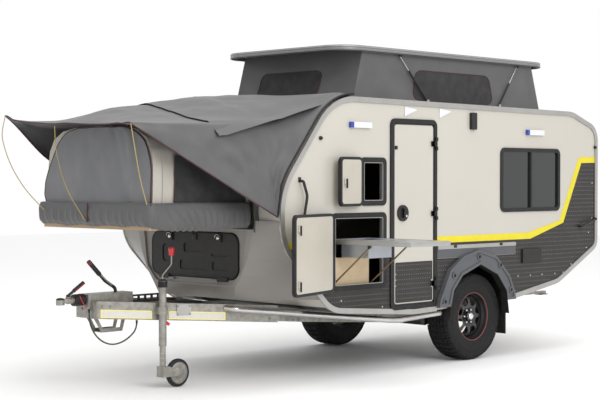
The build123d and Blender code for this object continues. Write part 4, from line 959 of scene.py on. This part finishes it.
def tyre(name, side):
    place = wheel_place(side)
    inner_side = [(-y, radius) for y, radius in CARCASS[-2::-1]]
    loop = CARCASS + inner_side + [(-0.085, 0.208), (0.085, 0.208), CARCASS[0]]
    vertices, faces = ring_mesh(loop, place)
    faces = list(faces.values())
    for pitch in range(PITCHES):
        start = 2 * math.pi * pitch / PITCHES
        for outline in TREAD:
            first = len(vertices)
            count = len(outline)
            middle = [sum(c) / count for c in zip(*outline)]
            for share, depth in ((1.0, 0.374), (0.93, None)):
                for s, y in outline:
                    s, y = middle[0] + (s - middle[0]) * share, (middle[1] + (y - middle[1]) * share) / 1000
                    vertices.append(place(y, depth or TYRE_R - 0.0004 - 0.10 * y * y, start + s / 388))
            faces.append(tuple(range(first + count, first + 2 * count)))
            faces += [(first + i, first + (i + 1) % count, first + count + (i + 1) % count, first + count + i)
                      for i in range(count)]
        for hand in (-1, 1):
            for turn, (a, b) in enumerate(SHOULDER_ARC):
                first = len(vertices)
                line = SHOULDER_LINE if (turn + pitch) % 2 else SHOULDER_SHORT
                lean = 5 if hand > 0 else -5
                for s in (a, b):
                    for thin, sunk in ((0.0, 0.0), (0.006, 0.012)):
                        for y, radius in line:
                            angle = start + (s + lean * (y > 0.1)) / 388
                            vertices.append(place(hand * (y - thin), radius - sunk, angle))
                n = len(line)
                for i in range(n - 1):
                    faces.append((first + i, first + i + 1, first + 2 * n + i + 1, first + 2 * n + i))
                    for base in (first, first + 2 * n):
                        faces.append((base + i, base + i + 1, base + n + i + 1, base + n + i))
                faces.append((first, first + 2 * n, first + 3 * n, first + n))
                faces.append((first + n - 1, first + 3 * n - 1, first + 4 * n - 1, first + 2 * n - 1))
    piece = new_object(f"tread_{name}", vertices, faces, "tyre", f"wheel_{name}", smooth=False)
    face_outward(piece)
    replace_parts(piece, f"tyre_{name}")


# Rim: barrel as (y, radius), then its spoked disc
BARREL = [(0.106, 0.219), (0.110, 0.217), (0.110, 0.211), (0.102, 0.207), (0.094, 0.204), (0.078, 0.203),
          (0.066, 0.196), (0.052, 0.190), (0.020, 0.188), (-0.060, 0.190), (-0.088, 0.203), (-0.106, 0.207),
          (-0.109, 0.214), (-0.105, 0.218), (-0.096, 0.212), (0.096, 0.212)]
DISC = [(0.030, 0.040), (0.046, 0.074), (0.052, 0.086), (0.060, 0.104), (0.062, 0.118), (0.060, 0.134),
        (0.056, 0.150), (0.050, 0.164), (0.040, 0.176), (0.024, 0.189)]
HUB_CAP = [(0.040, 0.036), (0.072, 0.035), (0.088, 0.033), (0.095, 0.028), (0.098, 0.016)]
NUT = [(0.036, 0.012), (0.060, 0.012), (0.068, 0.009), (0.070, 0.004)]
SPOKES = 8
NUTS = 6


def rim(name, side):
    body = f"wheel_{name}"
    place = wheel_place(side)
    vertices, faces = ring_mesh(BARREL + [BARREL[0]], place)
    barrel = new_object(f"rim_barrel_{name}", vertices, list(faces.values()), "rim_black", body)
    face_outward(barrel)
    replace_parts(barrel, f"rim_{name}")
    vertices, faces = ring_mesh(DISC, place, SPOKES * 12)
    solid = [face for (i, k), face in faces.items()
             if not (3 <= k <= 6 and 3 <= i % 12 <= 8 or 4 <= k <= 6 and i % 12 in (2, 9))]
    disc = new_object(f"rim_disc_{name}", vertices, solid, "rim_black", body)
    disc.modifiers.new("thick", "SOLIDIFY").thickness = 0.006
    smooth = disc.modifiers.new("round", "SUBSURF")
    smooth.levels = smooth.render_levels = 1
    settle(disc)
    centre = at(0, side * TRACK, TYRE_R)
    out = (0, side, 0)
    lathe(f"hub_cap_{name}", HUB_CAP, centre, out, CHROME, body)
    nuts = []
    for i in range(NUTS):
        a = 2 * math.pi * (i + 0.5) / NUTS
        spot = centre + Vector((math.sin(a) * 0.062, 0, math.cos(a) * 0.062))
        nuts.append(lathe(f"nut_{name}_{i}", NUT, spot, out, "tube_steel", body, steps=6))
    merge(f"wheel_nuts_{name}", nuts)
    line = [place(0.1085, 0.2105, 2 * math.pi * i / AROUND) for i in range(AROUND)]
    cord_along(f"rim_stripe_{name}", line, 0.0018, PINSTRIPE, body, cyclic=True)


# Raised studs of the checker plates: columns and rows, then half length, half width and height
STUD_STEP = (0.030, 0.020)
STUD = (0.0095, 0.0034, 0.0015)
STUD_LEAN = (118, 52)
STUD_FACES = ((0, 1, 4), (1, 5, 4), (1, 2, 5), (2, 3, 5), (3, 4, 5), (3, 0, 4), (0, 3, 2, 1))


def plate_studs(name, node, x_span, z_span, face_y, body):
    """Lens-shaped studs wherever the plate has room, in rows that lean and look alike by turns; the studs of
    one lean take a lighter look as painted highlight.
    """
    plate = nodes[node]
    points = [plate.matrix_world @ v.co for v in plate.data.vertices]
    tree = BVHTree.FromPolygons(points, [p.vertices for p in plate.data.polygons])
    out = -1 if face_y < 0 else 1
    half, wide, high = STUD
    meshes = ([], []), ([], [])
    for row in range(int((z_span[1] - z_span[0]) / STUD_STEP[1]) + 1):
        kind = row % 2
        lean = math.radians(STUD_LEAN[kind])
        ux, uz = math.cos(lean), math.sin(lean)
        for column in range(int((x_span[1] - x_span[0]) / STUD_STEP[0]) + 1):
            x = x_span[0] + (column + kind / 2) * STUD_STEP[0]
            z = z_span[0] + row * STUD_STEP[1]

            def spot(a, b, rise):
                return at(x + a * ux - b * uz, face_y + out * rise, z + a * uz + b * ux)
            ends = ((half + 0.002, 0), (-half - 0.002, 0), (0, wide), (0, -wide))
            probes = [spot(a, b, 0.02) for a, b in ends]
            hits = [tree.ray_cast(p, Vector((0, -out, 0)), 0.03)[0] for p in probes]
            if any(h is None or abs(h.y - at(0, face_y, 0).y) > 0.0006 for h in hits):
                continue
            vertices, faces = meshes[kind]
            faces += [tuple(len(vertices) + k for k in face) for face in STUD_FACES]
            vertices += [spot(-half, 0, -0.0003), spot(0, wide, -0.0003), spot(half, 0, -0.0003),
                         spot(0, -wide, -0.0003), spot(-half * 0.4, 0, high), spot(half * 0.4, 0, high)]
    # The studs of one lean get the lighter look, a painted highlight; the others keep the plate's own colour
    for label, (vertices, faces), look in zip(("worn", "dark"), meshes, (STUD_PAINTED_GLINT, "checker")):
        face_outward(new_object(f"{name}_{label}", vertices, faces, look, body, smooth=False))


def rivets(name, spots, face_y, radius, look, body="caravan"):
    """Domed heads on a side, at x and z."""
    profile = [(-0.0005, radius), (radius * 0.2, radius * 0.92), (radius * 0.42, radius * 0.6),
               (radius * 0.5, radius * 0.2)]
    out = (0, math.copysign(1, face_y), 0)
    merge(name, [lathe(f"{name}_{i}", profile, at(x, face_y, z), out, look, body, steps=12)
                 for i, (x, z) in enumerate(spots)])


# Hatches: x and z of the frame, corner, pin's x, degrees that the leaf stands open, heights of its latches
HATCHES = {"kitchen_hatch": ((-1.917, -1.257), (0.720, 1.347), 0.045, -1.925, 163, (0.790, 1.220)),
           "small_hatch": ((-1.574, -1.258), (1.403, 1.800), 0.045, -1.582, 171, (1.580,))}
LEAF_NEAR = LEFT - 0.015
LEAF_FAR = LEFT - 0.043


def hatch_trim():
    for name, (x, z, corner, pin_x, degrees, latches) in HATCHES.items():
        body = f"{name}_door"
        place = swung((pin_x, LEFT - 0.029), degrees)
        band(f"{name}_edging", round_loop(inset(x, -0.0015), inset(z, -0.0015), corner + 0.0015),
             round_loop(inset(x, 0.021), inset(z, 0.021), corner - 0.018),
             (LEAF_FAR - 0.0015, LEAF_NEAR + 0.0015), "rubber_black", body, place, 0.002)
        for i, low in enumerate(latches):
            block(f"{name}_latch_{i}", (x[1] - 0.082, LEAF_NEAR, low - 0.004),
                  (x[1] - 0.052, LEAF_NEAR + 0.012, low + 0.050), "tube_steel", body, 0.002, place=place)
            block(f"{name}_lever_{i}", (x[1] - 0.072, LEAF_NEAR + 0.010, low - 0.030),
                  (x[1] - 0.060, LEAF_NEAR + 0.022, low + 0.046), LEVER_BLACK, body, 0.003, place=place)
        band(f"{name}_seal", round_loop(inset(x, 0.040), inset(z, 0.040), 0.014),
             round_loop(inset(x, 0.046), inset(z, 0.046), 0.010), (LEFT - 0.0095, LEFT + 0.028), "moulding")


# Heights of the entry door's hinges
HINGE_HEIGHTS = (0.700, 1.300, 1.900)


def door_trim():
    for i, z in enumerate(HINGE_HEIGHTS):
        lathe(f"door_hinge_{i}", [(-0.0295, 0.006), (-0.028, 0.0095), (0.078, 0.0095), (0.0795, 0.006)],
              at(-0.622, -0.998, z), (0, 0, 1), "rubber_black", steps=20)
        for part, rear, near in (("leaf", -0.621, 0.0188), ("riser", -0.6505, 0.0065)):
            block(f"door_hinge_{part}_{i}", (-0.6775, LEFT - 0.0285, z + 0.003),
                  (rear, LEFT - near, z + 0.047), "rubber_black", "entry_door", 0.001)
    band("door_seal", round_loop((-1.158, -0.6465), (0.5665, 2.0835), 0.030),
         round_loop((-1.153, -0.6515), (0.5715, 2.0785), 0.026), (LEFT - 0.0085, LEFT - 0.002),
         "rubber_black", "entry_door")
    block("door_catch", (-1.152, LEFT - 0.020, 1.870), (-1.126, LEFT - 0.008, 1.900), LEVER_BLACK,
          "entry_door", 0.003)
    lathe("door_lock", [(0.0, 0.011), (0.004, 0.011), (0.005, 0.009)], at(-1.030, LEFT - 0.034, 1.310),
          (0, -1, 0), "tube_steel", "entry_door", steps=24)


# Left drawbar rail: x and y of its outer face's ends, outward direction, and its underside's heights
RAIL_FACE = ((-3.600, -0.125), (-2.165, -0.620))
RAIL_OUT = (-0.326, -0.945)
RAIL_FEET = (0.557, 0.466)
# Underside of the body beside the chassis rails: x and height
SILL = [(-2.165, 0.575), (-1.927, 0.554), (-0.900, 0.478), (0.450, 0.520), (1.217, 0.638)]


def along_rail(x, out, z):
    """Point beside the left drawbar rail's outer face, out metres away from it."""
    share = (x - RAIL_FACE[0][0]) / (RAIL_FACE[1][0] - RAIL_FACE[0][0])
    y = mix(RAIL_FACE[0][1], RAIL_FACE[1][1], share)
    return at(x + RAIL_OUT[0] * out, y + RAIL_OUT[1] * out, z)


def rail_foot(x):
    """Height of the drawbar rail's underside at x."""
    return mix(*RAIL_FEET, (x - RAIL_FACE[0][0]) / (RAIL_FACE[1][0] - RAIL_FACE[0][0]))


def reflector(name, x0, x1, low, high, thick, look):
    """Strip on the drawbar rail between two heights over its underside."""
    rows = [[along_rail(x, thick, rail_foot(x) + z) for z in (low, high)] for x in stations(x0, x1)]
    sheet(name, rows, 0.0008, look, "caravan", levels=0)


def rail_fittings():
    """Reflective strips, bare plate and bolts on the drawbar and the chassis rails."""
    for i, (x0, x1) in enumerate(((-3.575, -3.185), (-3.050, -2.600))):
        reflector(f"reflector_border_{i}", x0, x1, 0.010, 0.072, 0.0006, REFLECT_YELLOW)
        reflector(f"reflector_{i}", x0 + 0.006, x1 - 0.006, 0.015, 0.067, 0.0014, REFLECT_WHITE)
    plate = [[along_rail(x, 0.006, 0.558 + z) for z in (0.0, 0.086)] for x in (-2.990, -2.880)]
    sheet("blank_plate", plate, 0.003, "moulding", "caravan", levels=0)
    spots = ((-2.982, 0.630), (-2.890, 0.630), (-2.982, 0.566), (-2.890, 0.566), (-3.560, 0.650),
             (-3.500, 0.650), (-3.165, 0.570), (-3.165, 0.635), (-2.230, 0.500), (-2.230, 0.555))
    merge("rail_bolts", [lathe(f"bolt_{i}", [(0.0, 0.008), (0.006, 0.008), (0.0075, 0.006)],
                               along_rail(x, 0.004, z),
                               (*RAIL_OUT, 0), "galvanised", steps=6) for i, (x, z) in enumerate(spots)])
    merge("chassis_bolts", [lathe(f"rail_head_{x}_{low}", [(-0.001, 0.009), (0.006, 0.009), (0.008, 0.007)],
                                  at(x, -0.620, through(SILL, x)[0] - low), (0, -1, 0), "galvanised", steps=6)
                            for x in (-2.060, -1.990, -1.920, -1.060, -0.990, -0.920, 0.660, 0.730)
                            for low in (0.050, 0.085)])


def coupling_fittings():
    ribs = [(0.004 + i * 0.0074, 0.046 if i % 2 else 0.0435) for i in range(13)]
    lathe("bellows", ribs, at(-3.737, 0, 0.700), (1, 0, 0), "rubber_black")
    lathe("coupling_dome", [(0.0, 0.0325), (0.004, 0.0322), (0.011, 0.026), (0.0145, 0.014)],
          at(-3.853, 0, 0.7095), (0, 0, 1), "rubber_black")
    sleeve = [Vector(point) for point in ((-3.372, 0, 0.797), (-3.430, 0, 0.834), (-3.480, 0, 0.882))]
    fine = [a.lerp(b, k / 6) for a, b in zip(sleeve, sleeve[1:]) for k in range(6)] + [sleeve[-1]]
    wires = {"safety_wire": ([(-3.706, -0.046, 0.735), (-3.695, -0.052, 0.700), (-3.672, -0.050, 0.672),
                              (-3.652, -0.040, 0.655), (-3.645, -0.034, 0.640)], 0.0028, "knob_red"),
             "brake_lever_sleeve": (rounded(fine, 4), 0.0138, "galvanised"),
             "brake_lever_tip": ([(-3.570, 0, 0.970), (-3.588, 0, 0.988), (-3.5895, 0, 0.9895)], 0.0185,
                                 "knob_red"),
             "coupling_lever_line": ([(-3.728, -0.0145, 0.7655), (-3.640, -0.0145, 0.8215)], 0.003,
                                     "knob_red")}
    for name, (points, radius, slot) in wires.items():
        cord_along(name, [at(*point) for point in points], radius, slot, "caravan")


JOCKEY_Y = -0.332


def jockey_fittings():
    up = (0, 0, 1)
    lathe("jockey_cap", [(-0.004, 0.032), (0.0, 0.0375), (0.046, 0.0375), (0.056, 0.030), (0.062, 0.014)],
          at(-3.130, JOCKEY_Y, 0.786), up, "rubber_black")
    lathe("jockey_knob", [(-0.002, 0.010), (0.0, 0.0135), (0.020, 0.016), (0.048, 0.0245), (0.062, 0.023),
                          (0.066, 0.014)], at(-3.040, JOCKEY_Y, 1.026), up, "knob_red")
    for hand, side in HANDS:
        lathe(f"jockey_hub_{hand}", [(0.0192, 0.086), (0.0212, 0.084), (0.0216, 0.060), (0.0212, 0.045),
                                     (0.0306, 0.0375), (0.0306, 0.030)],
              at(-2.980, JOCKEY_Y, 0.110), (0, side, 0), "galvanised", "jockey_wheel")
    for i, z in enumerate((0.200, 0.238, 0.276)):
        lathe(f"jockey_mark_{i}", [(-0.001, 0.0243), (0.0, 0.0249), (0.002, 0.0249), (0.003, 0.0243)],
              at(-3.130, JOCKEY_Y, z), up, "tube_steel", "jockey_fork")


# Rivets of the checker plates, at x and z: behind the wheel, on the door, and before the door
REAR_RIVETS = [(0.588, 0.727), (0.779, 0.724), (0.967, 0.723), (1.173, 0.722), (1.309, 0.728), (1.444, 0.800),
               (1.703, 0.953), (1.800, 1.240), (1.800, 1.582), (1.740, 1.100)]
DOOR_RIVETS = [(-1.140, 0.822), (-1.140, 0.775), (-1.140, 0.724)]
FRONT_RIVETS = [(-1.30, 0.560), (-1.80, 0.640)]
FLARE_BOLTS = [(-0.520, 0.556), (-0.390, 0.778), (-0.038, 0.930), (0.272, 0.842), (0.432, 0.610)]


def body_trim():
    """Markers, lamp ends, rivets, latches and other small things on the body."""
    for i, (x, z) in enumerate(((-2.044, 1.947), (1.842, 1.932))):
        lathe(f"marker_{i}", [(0.0, 0.016), (0.012, 0.016), (0.020, 0.012), (0.024, 0.004)],
              at(x, LEFT - 0.001, z), (0, -1, 0), "plastic_black", steps=24)
    for i, (x, z) in enumerate((((-1.7095, -1.672), (2.0395, 2.0865)), ((0.6995, 0.735), (2.0295, 2.0785)))):
        slab(f"lamp_end_{i}", round_loop(x, z, 0.006, 3), (LEFT - 0.0268, LEFT - 0.0005), LAMP_BLUE)
    rivets("plate_rivets_left", REAR_RIVETS + FRONT_RIVETS, LEFT - 0.002, 0.008, "tube_steel")
    rivets("door_rivets", DOOR_RIVETS, LEFT - 0.010, 0.006, "tube_steel", "entry_door")
    rivets("plate_rivets_right", REAR_RIVETS + FRONT_RIVETS + [(-0.80, 0.540)], HALF_WIDTH + 0.002, 0.008,
           "tube_steel")
    for hand, side in HANDS:
        heads = [(x, 2.2695) for x in stations(-1.50, 1.35, 0.285)]
        rivets(f"rail_heads_{hand}", heads, side * (HALF_WIDTH + 0.012), 0.0045, "tube_steel")
        rivets(f"flare_bolts_{hand}", FLARE_BOLTS, side * (HALF_WIDTH + 0.0312), 0.0135, "plastic_black")
        block(f"deck_pad_{hand}", (-2.885, side * 0.06, 0.6375), (-2.660, side * 0.27, 0.652),
              "plastic_black", bevel=0.006)
        y = side * 0.300
        lathe(f"lid_button_{hand}", [(0.0, 0.017), (0.006, 0.017), (0.009, 0.013), (0.010, 0.004)],
              at(-2.5355, y - 0.012, 1.148), (-1, 0, 0), "tube_steel", "nose_lid", steps=28)
        shackle = ((-0.030, 0.006), (-0.024, 0.024), (0.0, 0.030), (0.020, 0.022), (0.026, 0.004))
        cord_along(f"lid_pull_{hand}", [at(-2.540, y + dy, 1.148 + dz) for dy, dz in shackle], 0.0028,
                   "tube_steel", "nose_lid")
    block("lid_catch", (-2.534, -0.042, 1.126), (-2.522, 0.014, 1.176), "plastic_black", "nose_lid", 0.005, 3)
    band("lid_seal", round_loop((-0.534, 0.534), (0.821, 1.189), 0.089, 10),
         round_loop((-0.520, 0.520), (0.835, 1.175), 0.076, 10), (-2.5262, -2.512), "rubber_black",
         "nose_lid", place=lambda across_y, x, z: at(x, across_y, z))
    slab("table_panel", round_loop((-0.594, 0.524), (0.934, 1.010), 0.004, 2), (LEFT - 0.0172, LEFT - 0.010),
         TABLE_GREY)
    for i, x in enumerate((-0.36, 0.30)):
        block(f"table_clip_{i}", (x - 0.020, LEFT - 0.0275, 1.020), (x + 0.020, LEFT - 0.022, 1.0445),
              "plastic_black")
    for name, x, z in (("grab_base", (-2.292, -2.262), (1.600, 1.636)),
                       ("grab_foot", (-2.284, -2.252), (1.296, 1.332))):
        block(name, (x[0], LEFT - 0.006, z[0]), (x[1], LEFT + 0.0005, z[1]), "plastic_black")


# Kitchen board: x, and height of its underside and top
BOARD_X = (-1.872, -1.392)
BOARD_Z = (1.100, 1.134)
BOARD_END = LEFT - 0.800


def kitchen_fittings():
    """Board edging and end tape, raised rim of the sink, knuckles of the braces and ribs of the worktop."""
    under, top = BOARD_Z
    body = "kitchen_board"

    def lying(x, depth, y):
        return at(x, y, depth)
    band("board_edging", round_loop(inset(BOARD_X, -0.0012), (BOARD_END - 0.0012, LEFT + 0.060), 0.010, 3),
         round_loop(inset(BOARD_X, 0.014), (BOARD_END + 0.014, LEFT + 0.046), 0.004, 3),
         (under + 0.004, top + 0.0022), "moulding", body, place=lying)
    band("sink_lip", round_loop((-1.832, -1.563), (-1.302, -1.018), 0.020),
         round_loop((-1.820, -1.575), (-1.290, -1.030), 0.014), (top - 0.001, top + 0.004), "board_metal",
         body, place=lying)
    for i, x in enumerate(inset(BOARD_X, 0.012)):
        block(f"brace_knuckle_{i}", (x - 0.0155, LEFT - 0.385, under - 0.026),
              (x - 0.0125, LEFT - 0.355, under - 0.001), "plastic_black", body, 0.001)
    merge("worktop_ribs", [block(f"worktop_rib_{i}", (-1.535, y, top - 0.0004),
                                 (-1.415, y + 0.006, top + 0.0014),
                                 "board_metal", body, 0.0005, 1) for i,
                                 y in enumerate(stations(-1.26, -1.08, 0.018))])
    block("board_tape", (BOARD_X[1] - 0.12, LEFT - 0.797, top - 0.001),
          (BOARD_X[1] + 0.0008, LEFT - 0.70, top + 0.0012), "stripe", body, 0.0003)


# Edge of the wheel arch in x and z
ARCH = [(-0.450, 0.400), (-0.445, 0.504), (-0.404, 0.650), (-0.279, 0.776), (-0.023, 0.862), (0.227, 0.761),
        (0.363, 0.608), (0.400, 0.400)]


def arch_liners():
    """Dark lining just inside the edge of each wheel arch."""
    fine = [(mix(xa, xb, i / 6), mix(za, zb, i / 6)) for (xa, za), (xb, zb) in zip(ARCH, ARCH[1:])
            for i in range(6)]
    fine.append(ARCH[-1])
    for hand, side in HANDS:
        rows = [[at(x - math.copysign(0.002, x), side * y, z - 0.002) for y in (0.944, 0.975, 1.018)]
                for x, z in fine]
        sheet(f"arch_liner_{hand}", rows, 0.003, "plastic_black", "caravan", levels=0)


for hand, side in HANDS:
    tyre(hand, side)
    rim(hand, side)
PLATE_AREA = ((-2.45, 1.86), (0.47, 1.84))
plate_studs("studs_left", "checker_plates", *PLATE_AREA, LEFT - 0.002, "caravan")
plate_studs("studs_right", "checker_plates", *PLATE_AREA, HALF_WIDTH + 0.002, "caravan")
plate_studs("studs_door", "door_plate", (-1.145, -0.65), (0.575, 0.92), LEFT - 0.010, "entry_door")
hatch_trim()
door_trim()
rail_fittings()
coupling_fittings()
cable()
jockey_fittings()
body_trim()
arch_liners()
kitchen_fittings()
pop_roof()
bed_rods()
mattress()
fly()
overlay()
inner_tent()
arch_flap()
side_mesh()
bed_skirt()
pop_walls()

# Each cloth's flat width and length before it was hung, how it is held, what holds it, the beads and
# seams sewn on it, and its flat area where the cut isn't a rectangle
RODS_HOLD = ("rod_near", "rod_middle", "rod_far")
CLOTHS = {
    "fly_peak": ((1.80, 0.33), "stretched", RODS_HOLD,
                 ("fly_piping_peak_-1", "fly_piping_peak_1", "fly_piping_front"), None),
    "fly_main": ((2.60, 1.00), "stretched", RODS_HOLD, ("fly_piping_main_-1", "fly_piping_main_1"), None),
    "fly_slope": ((2.30, 0.70), "stretched", ("edge_rails",),
                  ("fly_welt_slope_-1", "fly_welt_slope_1"), None),
    "fly_cap": ((1.98, 0.215), "stretched", ("edge_rails",), ("fly_welt_cap_-1", "fly_welt_cap_1"), None),
    "fly_overlay_main": ((1.85, 0.52), "draped", ("fly_main",), ("fly_overlay_hem",), None),
    "fly_overlay_slope": ((1.88, 0.665), "draped", ("fly_slope",), (), None),
    "fly_overlay_cap": ((1.88, 0.215), "draped", ("fly_cap",), (), None),
    "tent_walls": ((2.25, 0.97), "hung", ("fly_main",), ("tent_seam_-1", "tent_seam_1"), None),
    "tent_front": ((1.31, 0.59), "hung", ("tent_walls",), (), 0.56),
    "tent_arch_flap": ((1.34, 0.58), "hung", ("tent_front",), ("tent_flap_piping",), 0.69),
    "tent_mesh_-1": ((0.73, 0.365), "stretched", ("tent_walls",), ("tent_mesh_piping_-1",), None),
    "tent_mesh_1": ((0.73, 0.365), "stretched", ("tent_walls",), ("tent_mesh_piping_1",), None),
    "bed_skirt": ((3.60, 0.30), "gathered", ("bed_platform",), (), None),
    "pop_top_walls": ((8.10, 0.44), "hung", ("pop_roof_shell",), (), None),
    "pop_window_near": ((1.11, 0.262), "stretched", ("pop_top_walls",), ("pop_window_piping_near",), None),
    "pop_window_front": ((0.75, 0.25), "stretched", ("pop_top_walls",), ("pop_window_piping_front",), None),
    "pop_window_far": ((1.11, 0.262), "stretched", ("pop_top_walls",), ("pop_window_piping_far",), None),
    "pop_window_rear": ((0.925, 0.255), "stretched", ("pop_top_walls",), ("pop_window_piping_rear",), None),
}
for name, (flat, held, holders, sewn, cut) in CLOTHS.items():
    [bpy.data.objects[part] for part in sewn]
    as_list(holders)


# Studio: floor's half width and height, and the lamps' place, aim, size and power
FLOOR_HALF = 26.0
FLOOR_Z = -0.0005
LAMPS = {"key": ((-3.5, -10.0, 6.5), (0, -0.6, 1.0), 6.0, 560),
         "top": ((-1.0, -1.0, 9.0), (-0.5, 0, 1.0), 7.0, 280)}
FLOOR_WHITE = surface((0.93, 0.93, 0.93), (0.92, 0.92, 0.92), 0.4, 0.7)
# Camera of the photo: place in the frame, yaw, pitch and roll in degrees, and lens
CAMERA_PLACE = (-9.3363, -8.5945, 1.632)
CAMERA_TURN = (45.23, 0.878, 0.036)
CAMERA_LENS = 87.01


def studio():
    view = bpy.context.scene.view_settings
    view.view_transform = "Standard"
    view.look = "None"
    floor = bpy.data.meshes.new("floor")
    corners = ((-1, -1), (1, -1), (1, 1), (-1, 1))
    floor.from_pydata([(x * FLOOR_HALF, y * FLOOR_HALF, FLOOR_Z) for x, y in corners], [], [(0, 1, 2, 3)])
    floor.materials.append(FLOOR_WHITE)
    ground = bpy.data.objects.new("studio_floor", floor)
    bpy.context.collection.objects.link(ground)
    world = bpy.data.worlds.new("studio")
    world.use_nodes = True
    back_light = world.node_tree.nodes["Background"]
    back_light.inputs["Color"].default_value = (1.0, 1.0, 1.0, 1)
    back_light.inputs["Strength"].default_value = 1.0
    bpy.context.scene.world = world
    for name, (place, aim, size, power) in LAMPS.items():
        lamp = bpy.data.lights.new(name, "AREA")
        lamp.size = size
        lamp.energy = power
        holder = bpy.data.objects.new(name, lamp)
        holder.location = at(*place)
        holder.rotation_euler = (at(*aim) - at(*place)).to_track_quat("-Z", "Y").to_euler()
        bpy.context.collection.objects.link(holder)


def photo_camera():
    yaw, pitch, roll = (math.radians(angle) for angle in CAMERA_TURN)
    forward = Vector((math.sin(yaw) * math.cos(pitch), math.cos(yaw) * math.cos(pitch), -math.sin(pitch)))
    right = forward.cross(Vector((0, 0, 1))).normalized()
    up = right.cross(forward)
    side = right * math.cos(roll) + up * math.sin(roll)
    top = up * math.cos(roll) - right * math.sin(roll)
    lens = bpy.data.cameras.new("photo_view")
    lens.lens = CAMERA_LENS
    lens.sensor_width = 36.0
    camera = bpy.data.objects.new("photo_view", lens)
    turn = Matrix((side, top, -forward)).transposed().to_4x4()
    camera.matrix_world = Matrix.Translation(CAMERA_PLACE) @ turn
    bpy.context.collection.objects.link(camera)
    bpy.context.scene.camera = camera


studio()
photo_camera()
